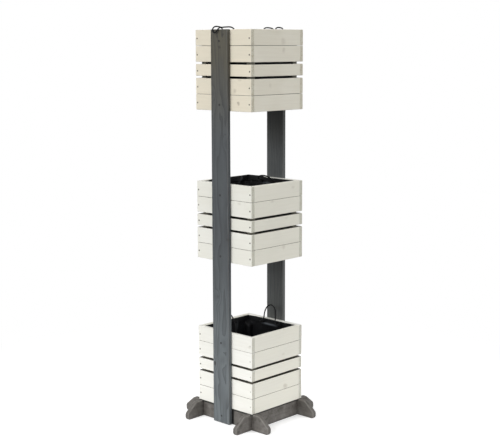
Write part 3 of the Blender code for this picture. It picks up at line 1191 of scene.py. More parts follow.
@dataclass
class SlattedBox:
    """One box: five boards on each face, nailed to a batten in each corner, and a floor."""

    tier: Tier
    trees: Trees
    finishes: Finishes
    rows: int = 5
    batten_side: float = 22 * MM
    batten_clear: float = 0.6 * MM
    batten_drop: float = 40 * MM
    batten_foot: float = 9.3 * MM
    rounding: tuple[float, int] = (1.5 * MM, 3)
    slack: float = 1.0 * MM
    nail_radius: float = 3.0 * MM
    nail_rise: float = 0.5 * MM
    nail_jitter: float = 1.3 * MM
    nail_inset: float = 9 * MM
    nail_drop: float = 3 * MM

    def node(self, word: str) -> str:
        """The name of one of this box's nodes."""
        return f"{self.tier.value}_{word}"

    def seed(self, number: int) -> int:
        """A seed that no other box has."""
        return 10 * list(Tier).index(self.tier) + number

    def row_nodes(self, face: Face) -> list[str]:
        """The nodes of a front or back face's boards, from the rim down."""
        return [self.node(f"{face.word}_board_{row}") for row in range(1, self.rows + 1)]

    def planks(
        self, name: str, middles: list[Vector], sizes: list[Vector],
        finish: Material, seed: int, slack: float,
    ) -> Object:
        """Grows planks and marks their rounded edges.

        Args:
            name: The piece's name.
            middles: Each plank's middle.
            sizes: Each plank's length along X, Y and Z.
            finish: Their finish.
            seed: What their grain and seams are drawn from.
            slack: The most that comes off a plank's height.

        Returns:
            The piece.
        """
        made = grown(
            name, points_mesh(name, middles, sizes), self.trees.planks,
            {"Finish": finish, "Seed": seed, "Slack": slack}, self.rounding,
        )
        return mark_hidden(mark_eased(made), max(middle.z for middle in middles))

    def long_boards(self, face: Face) -> None:
        """Makes the boards of the front or the back, which run past the sides' ends.

        Args:
            face: The front or the back.
        """
        nodes = self.row_nodes(face)
        middles, sizes = zip(*(middle_and_size(node) for node in nodes), strict=True)
        made = self.planks(
            self.node(f"{face.word}_boards"), list(middles), list(sizes),
            self.finishes.washed[self.tier][Grain.ALONG_X],
            self.seed(1 if face is Face.FRONT else 2), self.slack,
        )
        dress(made, "frame", tuple(nodes))

    def side_boards(self, face: Face) -> None:
        """Makes the boards of the left or the right, between the front's and the back's.

        Args:
            face: The left or the right.
        """
        side = face.value[0]
        node = self.node(f"{face.word}_side")
        low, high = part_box(node)
        outer = high.x if side > 0 else low.x
        _, row_size = middle_and_size(self.row_nodes(Face.FRONT)[0])
        middles, sizes = [], []
        for row in self.row_nodes(Face.FRONT):
            middle, size = middle_and_size(row)
            middles.append(Vector((outer - side * row_size.y / 2, 0.0, middle.z)))
            sizes.append(Vector((row_size.y, high.y - low.y, size.z)))
        made = self.planks(
            self.node(f"{face.word}_boards"), middles, sizes,
            self.finishes.washed[self.tier][Grain.ALONG_Y],
            self.seed(3 if face is Face.RIGHT else 4), self.slack,
        )
        dress(made, "frame", (node,))

    def battens(self) -> None:
        """Makes the four corner battens, left unpainted, that show through the slots; their dark grey is
        partly painted shade.
        """
        low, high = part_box(self.node("right_side"))
        front, row_size = middle_and_size(self.row_nodes(Face.FRONT)[0])
        inner_x = high.x - row_size.y
        inner_y = abs(front.y) - row_size.y / 2 - self.batten_clear
        foot, top = low.z + self.batten_foot, high.z - self.batten_drop
        half = self.batten_side / 2
        middles = [
            Vector((sx * (inner_x - half), sy * (inner_y - half), (foot + top) / 2))
            for sx in (-1, 1)
            for sy in (-1, 1)
        ]
        sizes = [Vector((self.batten_side, self.batten_side, top - foot))] * len(middles)
        made = self.planks(self.node("battens"), middles, sizes, self.finishes.raw, self.seed(5), 0.0)
        nodes = (self.node("left_side"), self.node("right_side"))
        dress(made, "frame", nodes)

    def floor(self) -> None:
        """Makes the floor board."""
        node = self.node("floor")
        middle, size = middle_and_size(node)
        made = self.planks(
            self.node("floor_board"), [middle], [size], self.finishes.raw, self.seed(6), 0.0
        )
        dress(made, "frame", (node,))

    def nails(self) -> None:
        """Drives a nail near each end of the front's and the back's boards.

        Those at the lower box's right front corner are filled and washed over.
        """
        points: dict[str, list[Vector]] = {"nails": [], "filled_nails": []}
        for face in (Face.FRONT, Face.BACK):
            for row in self.row_nodes(face):
                low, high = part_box(row)
                y = low.y if face is Face.FRONT else high.y
                z = (low.z + high.z) / 2 - self.nail_drop
                for x in (low.x + self.nail_inset, high.x - self.nail_inset):
                    filled = self.tier is Tier.LOWER and face is Face.FRONT and x > 0
                    points["filled_nails" if filled else "nails"].append(Vector((x, y, z)))
        for word, finish in (
            ("nails", self.finishes.nail), ("filled_nails", self.finishes.filled_nail),
        ):
            if not points[word]:
                continue
            name = self.node(word)
            made = grown(
                name, points_mesh(name, points[word]), self.trees.nails,
                {"Finish": finish, "Seed": self.seed(7), "Radius": self.nail_radius,
                 "Rise": self.nail_rise, "Jitter": self.nail_jitter},
            )
            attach(made, "frame")
            LOG.info("%s: %d nails", name, len(points[word]))

    def build(self) -> None:
        """Makes the whole box."""
        for face in (Face.FRONT, Face.BACK):
            self.long_boards(face)
        for face in (Face.LEFT, Face.RIGHT):
            self.side_boards(face)
        self.battens()
        self.floor()
        self.nails()


@dataclass
class Uprights:
    """The two tall boards that the boxes are screwed to."""

    trees: Trees
    finishes: Finishes
    rounding: tuple[float, int] = (2.4 * MM, 4)
    screw_x: float = -3 * MM
    screw_drops: Pair = (43 * MM, 277 * MM)
    base_screw_z: float = 31 * MM
    screw_radius: float = 4 * MM
    screw_depth: float = 2.4 * MM
    screw_proud: float = 0.5 * MM
    screw_recess: float = 2.6 * MM
    screw_rounding: tuple[float, int] = (0.3 * MM, 2)

    def board(self, face: Face, seed: int) -> None:
        """Makes one upright.

        Args:
            face: The front or the back.
            seed: What its grain is drawn from.
        """
        node = f"{face.word}_upright"
        middle, size = middle_and_size(node)
        name = f"{node}_board"
        made = grown(
            name, points_mesh(name, [middle], [size]), self.trees.planks,
            {"Finish": self.finishes.stained[face], "Seed": seed, "Slack": 0.0}, self.rounding,
        )
        dress(mark_eased(made), "frame", (node,))

    def screws(self, face: Face) -> None:
        """Puts in the screws that hold the boxes and the base to one upright.

        Args:
            face: The front or the back.
        """
        side = face.value[1]
        low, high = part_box(f"{face.word}_upright")
        outer = low.y if side < 0 else high.y
        y = outer + side * (self.screw_proud - self.screw_depth / 2)
        heights = [self.base_screw_z]
        for tier in Tier:
            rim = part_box(f"{tier.value}_front_board_1")[1].z
            drops = self.screw_drops[:1] if tier is Tier.LOWER else self.screw_drops
            heights += [rim - drop for drop in drops]
        name = f"{face.word}_upright_screws"
        made = grown(
            name, points_mesh(name, [Vector((self.screw_x, y, z)) for z in heights]),
            self.trees.screws,
            {"Finish": self.finishes.screw, "Radius": self.screw_radius,
             "Depth": self.screw_depth, "Recess": self.screw_recess,
             "Turn": -side * pi / 2},
            self.screw_rounding,
        )
        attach(made, "frame")
        LOG.info("%s: %d screws", name, len(heights))

    def build(self) -> None:
        """Makes both uprights and their screws."""
        for seed, face in ((61, Face.FRONT), (64, Face.BACK)):
            self.board(face, seed)
            self.screws(face)


def rounded_corner(before: Pair, corner: Pair, after: Pair, radius: float, steps: int) -> list[Pair]:
    """Points along the arc that rounds off a corner of an outline.

    Args:
        before: The outline's corner before it.
        corner: The corner.
        after: The outline's corner after it.
        radius: The arc's radius.
        steps: How many pieces it is in.

    Returns:
        The points, one more than the steps.
    """
    middle = Vector(corner)
    back = (Vector(before) - middle).normalized()
    on = (Vector(after) - middle).normalized()
    half = back.angle(on) / 2
    centre = middle + (back + on).normalized() * (radius / sin(half))
    first = middle + back * (radius / tan(half)) - centre
    last = middle + on * (radius / tan(half)) - centre
    turn = first.angle_signed(last)
    return [tuple(centre + Matrix.Rotation(-turn * i / steps, 2) @ first) for i in range(steps + 1)]


@dataclass
class FootedBase:
    """Four boards that cross in half laps, with a foot at each of their ends."""

    finishes: Finishes
    end_height: float = 26 * MM
    slope_top: float = 46 * MM
    toe_radius: float = 12 * MM
    end_radius: float = 14 * MM
    shoulder_radius: float = 20 * MM
    corner_steps: int = 8
    gap: float = 0.3 * MM
    rounding: float = 3.6 * MM
    rounding_steps: int = 3
    first_seed: float = 0.17
    seed_step: float = 0.21

    def foot_outline(self, half_length: float, height: float) -> list[Pair]:
        """A board's right end, from its underside round the toe to its top edge.

        Args:
            half_length: Half the board's length.
            height: The board's height.

        Returns:
            Points along the board and up.
        """
        under, toe, brow = (0.0, 0.0), (half_length, 0.0), (half_length, self.end_height)
        shoulder, top = (half_length - self.slope_top, height), (0.0, height)
        steps = self.corner_steps
        return [
            *rounded_corner(under, toe, brow, self.toe_radius, steps),
            *rounded_corner(toe, brow, shoulder, self.end_radius, steps),
            *rounded_corner(brow, shoulder, top, self.shoulder_radius, steps),
        ]

    def board(self, face: Face, crossing: float) -> None:
        """Makes one board of the base.

        Args:
            face: The side of the base that the board is on.
            crossing: How far from the middle its notches are.
        """
        node = f"base_{face.word}_board"
        middle, size = middle_and_size(node)
        along_x = face in (Face.FRONT, Face.BACK)
        length, thick = (size.x, size.y) if along_x else (size.y, size.x)
        right = self.foot_outline(length / 2, size.z)
        left = [(-u, z) for u, z in reversed(right)]
        half_notch = thick / 2 + self.gap
        # Front and back boards are notched from above, left and right ones from below
        edge = size.z if along_x else 0.0
        depth = size.z / 2 + (-self.gap if along_x else self.gap) / 2

        def notch(u: float) -> list[Pair]:
            """The corners of the notch for the board that crosses there."""
            return [(u - half_notch, edge), (u - half_notch, depth),
                    (u + half_notch, depth), (u + half_notch, edge)]

        notches = notch(-crossing) + notch(crossing)
        outline = right + (notches[::-1] if along_x else []) + left
        outline += [] if along_x else notches
        bm = bmesh.new()
        flat = bm.faces.new([bm.verts.new((u, -thick / 2, z)) for u, z in outline])
        moved = bmesh.ops.extrude_face_region(bm, geom=[flat])["geom"]
        verts = [item for item in moved if isinstance(item, bmesh.types.BMVert)]
        bmesh.ops.translate(bm, vec=(0, thick, 0), verts=verts)
        outer = [
            rim
            for rim in bm.edges
            if abs(rim.verts[0].co.y - rim.verts[1].co.y) < self.gap
            and max(abs(vert.co.x) for vert in rim.verts) > crossing + half_notch + self.rounding
        ]
        bmesh.ops.bevel(
            bm, geom=outer, offset=self.rounding, segments=self.rounding_steps,
            affect="EDGES", profile=0.5,
        )
        turn = Matrix.Rotation(0.0 if along_x else pi / 2, 4, "Z")
        bmesh.ops.transform(
            bm, matrix=Matrix.Translation((middle.x, middle.y, 0.0)) @ turn, verts=bm.verts
        )
        bmesh.ops.recalc_face_normals(bm, faces=bm.faces)
        made = piece_of(f"base_{face.word}_footed_board", bm)
        seed = self.first_seed + self.seed_step * list(Face).index(face)
        for label, kind, part, values in (
            ("board_middle", "FLOAT_VECTOR", "vector", tuple(middle)),
            ("board_seed", "FLOAT", "value", (seed,)),
        ):
            attribute = made.data.attributes.new(label, kind, "POINT")
            attribute.data.foreach_set(part, values * len(made.data.vertices))
        grain = Grain.ALONG_X if along_x else Grain.ALONG_Y
        mark_eased(made, Vector((0, 1, 0)) if along_x else Vector((1, 0, 0)))
        dress(made, "frame", (node,), self.finishes.base[grain])

    def build(self) -> None:
        """Makes the four boards."""
        cross_x = abs(middle_and_size("base_right_board")[0].x)
        cross_y = abs(middle_and_size("base_front_board")[0].y)
        for face in Face:
            self.board(face, cross_x if face in (Face.FRONT, Face.BACK) else cross_y)


@dataclass
class Fold:
    """A crease that stands in from one wall of a liner, with a painted highlight along it.

    Its ends are given along the wall (Y on the left and right walls, X on the others) and up.
    """

    face: Face
    start: Pair
    end: Pair
    height: float = 3.5 * MM
    width: float = 7 * MM
    wear: float = 0.0
    wall_from: float = 0.1
    end_share: float = 0.35

    def nearness(self, place: Vector, width: float) -> float:
        """How near a place is to the crease.

        Args:
            place: A point of the liner.
            width: How far off it is hardly near.

        Returns:
            1 in the middle of the crease, and 0 far off or on another wall.
        """
        out = Vector(self.face.value)
        if place.dot(out) < self.wall_from:
            return 0.0
        spot = Vector((place.y if out.x else place.x, place.z))
        start, end = Vector(self.start), Vector(self.end)
        line = end - start
        share = min(max((spot - start).dot(line) / line.length_squared, 0.0), 1.0)
        away = (spot - (start + line * share)).length / width
        fading = self.end_share + (1 - self.end_share) * sin(pi * share)
        return exp(-away * away) * fading

    def rise(self, place: Vector) -> float:
        """How far the crease stands in at a place, in metres."""
        return self.height * self.nearness(place, self.width)

    def worn(self, place: Vector) -> float:
        """How strong the crease's painted highlight is at a place, from 0 to 1."""
        return self.wear * self.nearness(place, self.width / 2)


@dataclass
class RimLift:
    """A stretch of a liner's rim that stands up, from one point of it to another."""

    start: Pair
    end: Pair
    height: float = 4.5 * MM
    reach: float = 20 * MM

    def rise(self, place: Vector) -> float:
        """How far the rim stands up at a place.

        Args:
            place: A point of the wall.

        Returns:
            The distance in metres.
        """
        start, end = Vector(self.start), Vector(self.end)
        line = end - start
        share = min(max((place.xy - start).dot(line) / line.length_squared, 0.0), 1.0)
        away = (place.xy - (start + line * share)).length / self.reach
        return self.height * exp(-away * away)


@dataclass
class Liner:
    """A black sheet liner: its floor, walls that step in round the battens, hem and lugs."""

    tier: Tier
    trees: Trees
    finishes: Finishes
    folds: tuple[Fold, ...] = ()
    lifts: tuple[RimLift, ...] = ()
    thick: float = 1.3 * MM
    notch: float = 23.5 * MM
    shoulder_drop: float = 38.5 * MM
    square_drop: float = 15 * MM
    straight_count: int = 22
    corner_count: int = 16
    row_count: int = 44
    row_crowding: float = 1.35
    first_row: float = 3 * MM
    floor_rings: int = 10
    floor_edge: float = 0.985
    floor_crowding: float = 0.8
    floor_top: float = 4 * MM
    hub_height: float = 0.4 * MM
    wrinkle: float = 0.9 * MM
    wrinkle_lift: float = 0.8
    wrinkle_scale: float = 15.0
    soften: int = 2
    puff: float = 4.0 * MM
    puff_shares: Triple = (0.45, 0.9, 0.28)
    held_share: float = 0.25
    floor_reach: float = 25 * MM
    wave: float = 1.0 * MM
    wave_drop: float = 0.6
    wave_scale: float = 17.0
    rim_reach: float = 40 * MM
    hem_height: float = 21 * MM
    hem_rows: int = 5
    hem_thick: float = 1.0 * MM
    sheet_gap: float = 0.1 * MM
    stitch_inset: float = 3 * MM
    stitch_drop: float = 4 * MM
    stitch_parts: int = 12
    lug_start: float = 43.5 * MM
    lug_radius: float = 5 * MM
    bore_radius: float = 2.85 * MM
    patch_half: float = 58 * MM
    patch_height: float = 40 * MM
    patch_thick: float = 0.9 * MM
    patch_rows: int = 20
    patch_drop: float = 1.5 * MM
    stitch_pitch: float = 5.5 * MM
    stitch_length: float = 3.8 * MM
    stitch_radius: float = 0.45 * MM
    lug_steps: int = 28
    lug_ease: float = 0.8 * MM
    lug_sharp: float = radians(50)
    broad_scale: Pair = (11.0, 7.0)
    fine_scale: Pair = (34.0, 15.0)

    def __post_init__(self) -> None:
        """Takes the liner's outside from its CAD node."""
        self.low, self.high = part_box(f"{self.tier.value}_liner")
        self.shoulder = self.high.z - self.shoulder_drop
        self.square = self.high.z - self.square_drop
        self.seed = 5.0 + 7.0 * list(Tier).index(self.tier)

    def quarter(self, inset: float, is_square: bool) -> list[Pair]:
        """A quarter of the way round the wall, from the middle of +X to the middle of +Y.

        Args:
            inset: How far in from the outside.
            is_square: Whether the corner is square, or steps in round its batten.

        Returns:
            Points that match one to one between the two shapes.
        """
        x, y = self.high.x - inset, self.high.y - inset
        side_x, side_y = x - self.notch, y - self.notch
        points = [(x, side_y * i / self.straight_count) for i in range(self.straight_count)]
        half = self.corner_count // 2
        for i in range(self.corner_count + 1):
            if is_square:
                step = (x, side_y + self.notch * i / half)
                other = (x - self.notch * (i - half) / half, y)
            else:
                step = (x - self.notch * i / half, side_y)
                other = (side_x, side_y + self.notch * (i - half) / half)
            points.append(step if i <= half else other)
        return points + [
            (side_x * (1 - i / self.straight_count), y)
            for i in range(1, self.straight_count + 1)
        ]

    def ring(self, z: float, inset: float = 0.0) -> list[Vector]:
        """The wall's way round at one height, before its folds.

        Args:
            z: The height.
            inset: How far in from the outside.

        Returns:
            Points all the way round, the last next to the first.
        """
        share = min(max((z - self.shoulder) / (self.square - self.shoulder), 0.0), 1.0)
        share = share * share * (3 - 2 * share)
        stepped, squared = self.quarter(inset, False), self.quarter(inset, True)
        quarter = [
            Vector((a[0] + (b[0] - a[0]) * share, a[1] + (b[1] - a[1]) * share, z))
            for a, b in zip(stepped, squared, strict=True)
        ]
        loop = quarter[:-1]
        loop += [Vector((-p.x, p.y, z)) for p in quarter[:0:-1]]
        loop += [Vector((-p.x, -p.y, z)) for p in quarter[:-1]]
        loop += [Vector((p.x, -p.y, z)) for p in quarter[:0:-1]]
        for _ in range(self.soften):
            loop = [
                (loop[i - 1] + 2 * loop[i] + loop[(i + 1) % len(loop)]) / 4
                for i in range(len(loop))
            ]
        return loop

    def inward(self, loop: list[Vector], i: int) -> Vector:
        """The direction into the liner, square to its wall, at one point of a ring."""
        along = loop[(i + 1) % len(loop)] - loop[i - 1]
        return Vector((-along.y, along.x, 0.0)).normalized()

    def slack(self, place: Vector) -> float:
        """How far the sheet stands in from its box at a place.

        Args:
            place: A point of the wall before its folds.

        Returns:
            The distance in metres, never below zero.
        """
        spot = place + Vector((0, 0, self.seed))
        broad, fine = (
            noise.noise(Vector((spot.x * across, spot.y * across, spot.z * up)))
            for across, up in (self.broad_scale, self.fine_scale)
        )
        even, some, little = self.puff_shares
        rise = self.puff * max(0.0, even + some * broad + little * fine)
        # It is held flat by the lugs, and by its own weight at the floor
        near_lugs = abs(place.x) < self.patch_half and place.z > self.high.z - self.patch_height
        if near_lugs and abs(place.y) > self.high.y - self.notch / 2:
            rise *= self.held_share
        rise *= min(1.0, (place.z - self.low.z) / self.floor_reach)
        return rise + sum(fold.rise(place) for fold in self.folds)

    def wall_point(self, loop: list[Vector], i: int) -> Vector:
        """One point of the wall with its folds, and the rim's waves in its height."""
        place = loop[i]
        moved = place + self.inward(loop, i) * self.slack(place)
        near_rim = max(0.0, 1 - (self.high.z - place.z) / self.rim_reach)
        scale = self.wave_scale
        sway = noise.noise(Vector((place.x * scale + self.seed, place.y * scale, 0.5)))
        lifted = max((lift.rise(place) for lift in self.lifts), default=0.0)
        moved.z += (self.wave * (sway - self.wave_drop) + lifted) * near_rim
        return moved

    def layer(self, inset: float, heights: list[float]) -> list[list[Vector]]:
        """Rings of the finished wall, at an inset from its outside."""
        rings = [self.ring(z, inset) for z in heights]
        return [[self.wall_point(loop, i) for i in range(len(loop))] for loop in rings]

    def heights(self) -> list[float]:
        """The heights of the wall's rows, closer together near the rim and the shoulder."""
        low, high = self.low.z + self.first_row, self.high.z
        shares = [i / (self.row_count - 1) for i in range(self.row_count)]
        return [low + (high - low) * (1 - (1 - s) ** self.row_crowding) for s in shares]

    def skin(self, name: str, rings: list[list[Vector]], floor: bool, thick: float) -> Object:
        """Lays a sheet over rings and gives it its thickness, inwards.

        Args:
            name: The piece's name.
            rings: The rings, from the bottom up.
            floor: Whether the sheet goes on under the first ring as a floor.
            thick: The thickness.

        Returns:
            The piece, with a UV map in metres.
        """
        bm = bmesh.new()
        rows = [[bm.verts.new(p) for p in ring] for ring in rings]
        uv = bm.loops.layers.uv.new("sheet")
        count = len(rows[0])
        around = [0.0]
        for i in range(count):
            around.append(around[-1] + (rings[-1][(i + 1) % count] - rings[-1][i]).length)
        for low_row, high_row in zip(rows, rows[1:]):
            for i in range(count):
                j = (i + 1) % count
                face = bm.faces.new([low_row[i], low_row[j], high_row[j], high_row[i]])
                for loop, u in zip(face.loops, (i, i + 1, i + 1, i), strict=True):
                    loop[uv].uv = (around[u], loop.vert.co.z)
        if floor:
            self.close_floor(bm, rows[0], uv)
        for face in bm.faces:
            face.smooth = True
        return thickened(piece_of(name, bm), thick)

    def close_floor(
        self, bm: bmesh.types.BMesh, edge: list[bmesh.types.BMVert],
        uv: bmesh.types.BMLayerItem,
    ) -> None:
        """Adds the floor, from the wall's lowest ring to a point in its middle.

        Args:
            bm: The mesh.
            edge: The wall's lowest ring.
            uv: The layer that holds the UV map.
        """
        outer, count = edge, len(edge)
        for step in range(1, self.floor_rings):
            share = 1 - step / self.floor_rings
            share = share**self.floor_crowding if step > 1 else self.floor_edge
            inner = []
            for vert in edge:
                x, y = vert.co.x * share, vert.co.y * share
                scale = self.wrinkle_scale
                rise = noise.noise(Vector((x * scale, y * scale, self.seed)))
                height = self.wrinkle * (rise + self.wrinkle_lift) / 2
                inner.append(bm.verts.new((x, y, self.low.z + height)))
            for i in range(count):
                j = (i + 1) % count
                bm.faces.new([inner[i], inner[j], outer[j], outer[i]])
            outer = inner
        hub = bm.verts.new((0, 0, self.low.z + self.hub_height))
        for i in range(count):
            bm.faces.new([hub, outer[(i + 1) % count], outer[i]][::-1])
        for face in bm.faces:
            if all(vert.co.z < self.low.z + self.floor_top for vert in face.verts):
                for loop in face.loops:
                    loop[uv].uv = (loop.vert.co.x, loop.vert.co.y)

    def mark_worn(self, made: Object) -> Object:
        """Marks the painted highlight along the folds, and gives the piece back."""
        marks = [
            max((fold.worn(vert.co) for fold in self.folds), default=0.0)
            for vert in made.data.vertices
        ]
        made.data.attributes.new("worn", "FLOAT", "POINT").data.foreach_set("value", marks)
        return made

    def sheet(self) -> Object:
        """Makes the sheet itself: floor and walls in one."""
        return self.skin(
            f"{self.tier.value}_liner_sheet", self.layer(0.0, self.heights()), True, self.thick
        )

    def hem(self) -> Object:
        """Makes the edge that is turned in round the rim."""
        top = self.high.z
        inset = self.thick + self.sheet_gap
        shares = [i / self.hem_rows for i in range(self.hem_rows + 1)]
        heights = [top - self.hem_height * (1 - share) for share in shares]
        name = f"{self.tier.value}_liner_hem"
        return self.skin(name, self.layer(inset, heights), False, self.hem_thick)

    def patches(self) -> Object:
        """Makes the doubled sheet behind each pair of lugs."""
        inset = self.thick + self.hem_thick + 2 * self.sheet_gap
        count = self.patch_rows
        heights = [
            self.high.z - self.patch_height * (1 - i / count) - self.patch_drop * (i / count)
            for i in range(count + 1)
        ]
        rings = self.layer(inset, heights)
        name = f"{self.tier.value}_liner_patches"
        bm = bmesh.new()
        uv = bm.loops.layers.uv.new("sheet")
        for side in (-1, 1):
            chosen = [
                i
                for i, p in enumerate(self.ring(heights[0], inset))
                if abs(p.x) <= self.patch_half and p.y * side > self.high.y - self.notch / 2
            ]
            chosen.sort(key=lambda i: rings[0][i].x * side)
            rows = [[bm.verts.new(ring[i]) for i in chosen] for ring in rings]
            for low_row, high_row in zip(rows, rows[1:]):
                for i in range(len(chosen) - 1):
                    corners = [low_row[i], low_row[i + 1], high_row[i + 1], high_row[i]]
                    face = bm.faces.new(corners[::-1])
                    for loop in face.loops:
                        loop[uv].uv = (loop.vert.co.x, loop.vert.co.z)
                    face.smooth = True
        return thickened(piece_of(name, bm), self.patch_thick)

    def lugs(self) -> Object:
        """Makes the four eared lugs that the rope ends turn in.

        Returns:
            The piece, with a bore through each lug.
        """
        wall = AXIS_INSET - WALL_CLEAR - self.thick - self.hem_thick
        axis_z = self.high.z - AXIS_DROP
        axis_y = self.high.y + WALL_CLEAR - AXIS_INSET
        steps, ease = self.lug_steps, self.lug_ease
        bm = bmesh.new()
        for side in (-1, 1):
            for end in (-1, 1):
                near, far = sorted((end * self.lug_start, end * (self.lug_start + LUG_LENGTH)))
                profiles = []
                for k in range(steps):
                    angle = 2 * pi * k / steps
                    c, s = cos(angle), sin(angle)
                    bore = (self.bore_radius * c, self.bore_radius * s)
                    reach = self.lug_radius
                    if c > 0:
                        reach = min(wall / max(c, TINY), reach / max(abs(s), TINY))
                    profiles.append((bore, (reach * c, reach * s)))
                rings = []
                for x, chosen, grow in (
                    (near, 0, 0.0), (near, 1, -ease), (near + ease, 1, 0.0),
                    (far - ease, 1, 0.0), (far, 1, -ease), (far, 0, 0.0),
                ):
                    ring = []
                    for pair in profiles:
                        v, w = pair[chosen]
                        length = hypot(v, w)
                        v, w = v * (1 + grow / length), w * (1 + grow / length)
                        ring.append(bm.verts.new((x, side * (axis_y + v), axis_z + w)))
                    rings.append(ring)
                for one, other in zip(rings, rings[1:] + rings[:1]):
                    for i in range(steps):
                        j = (i + 1) % steps
                        bm.faces.new([one[i], one[j], other[j], other[i]])
        bmesh.ops.recalc_face_normals(bm, faces=bm.faces)
        uv = bm.loops.layers.uv.new("sheet")
        for face in bm.faces:
            face.smooth = True
            for loop in face.loops:
                loop[uv].uv = (loop.vert.co.x, loop.vert.co.y + loop.vert.co.z)
        for edge in bm.edges:
            edge.smooth = edge.calc_face_angle(0.0) < self.lug_sharp
        return piece_of(f"{self.tier.value}_liner_lugs", bm)

    def stitches(self) -> Object:
        """Sews along the hem and round three sides of each patch."""
        inset = self.thick + self.hem_thick + self.sheet_gap
        line = self.layer(inset, [self.high.z - self.hem_height + self.stitch_inset])[0]
        points, edges = list(line), [(i, (i + 1) % len(line)) for i in range(len(line))]
        inset += self.patch_thick + self.sheet_gap
        x_end = self.patch_half - self.stitch_inset
        z_high = self.high.z - self.stitch_drop
        z_low = self.high.z - self.patch_height + self.stitch_inset
        for side in (-1, 1):
            path = [(x_end, z_high), (x_end, z_low), (-x_end, z_low), (-x_end, z_high)]
            first = len(points)
            for (x0, z0), (x1, z1) in zip(path, path[1:]):
                for k in range(self.stitch_parts):
                    share = k / self.stitch_parts
                    x, z = x0 + (x1 - x0) * share, z0 + (z1 - z0) * share
                    slack = self.slack(Vector((x, side * self.high.y, z)))
                    points.append(Vector((x, side * (self.high.y - inset - slack), z)))
            edges += [(i, i + 1) for i in range(first, len(points) - 1)]
        name = f"{self.tier.value}_liner_stitches"
        mesh = bpy.data.meshes.new(name)
        mesh.from_pydata([tuple(p) for p in points], edges, [])
        return grown(
            name, mesh, self.trees.stitches,
            {"Finish": self.finishes.cord, "Pitch": self.stitch_pitch,
             "Length": self.stitch_length, "Radius": self.stitch_radius},
        )

    def build(self) -> None:
        """Makes the liner: its sheet, hem, patches, lugs and stitches."""
        body = f"{self.tier.value}_liner"
        sheet = self.mark_worn(self.sheet())
        dress(sheet, body, (body,), self.finishes.sheet)
        others = [self.mark_worn(self.hem()), self.mark_worn(self.patches()), self.lugs()]
        for other in others:
            dress(other, body, (), self.finishes.sheet)
        stitches = dress(self.stitches(), body)


class Lie(Enum):
    """How a rope handle lies, as its inner points in millimetres from its axis.

    Each point is along the axis, out towards the wall, and up, before the handle leans.
    """

    STANDING = (
        (32, 0, 26), (34, -1, 45), (33.5, -2, 61), (25, -3, 73), (11, -3, 77.5), (-4, -3, 72),
        (-15, -2.5, 60), (-23, -2, 45), (-28, -1, 26),
    )
    SLUMPED = (
        (31.5, -0.2, 20), (34.5, 0, 33), (37, 0.2, 49), (33.5, -0.8, 63), (21.5, -3, 71),
        (5, -5.5, 68), (-11.5, -7, 54.5), (-23, -6, 37), (-29.3, -2.5, 21),
    )
    DRAPED = (
        (31, 1.5, 16), (30.6, 5.6, 20.1), (30, 12, 22.2), (29, 22, 22.7), (28, 34.3, 21.8),
        (26, 45.3, 19.5), (22.5, 52.5, 12.5), (13, 54.5, 4.9), (0, 55, 2.5), (-13, 54.5, 4.9),
        (-22.5, 52.5, 12.5), (-26, 45.3, 19.5), (-28, 34.3, 21.8), (-29, 22, 22.7),
        (-30, 12, 22.2), (-30.6, 5.6, 20.1), (-31, 1.5, 16),
    )
    DRAPED_ASIDE = (
        (31, 1.5, 16), (30.7, 5.6, 20.2), (30.4, 12.5, 22.8), (30.5, 25, 24.3), (31, 37, 24.6),
        (31.7, 46.8, 20.1), (30.9, 52.5, 12.3), (26, 54.3, 4.5), (18.5, 54.7, 1.7),
        (11, 54.1, 4.5), (5, 52.1, 12.3), (1.2, 45.3, 19.7), (-3, 34.3, 21.1),
        (-9.5, 20.5, 22.3), (-18, 11, 22.5), (-25.4, 5.2, 19.9), (-30, 1.6, 15.6),
    )


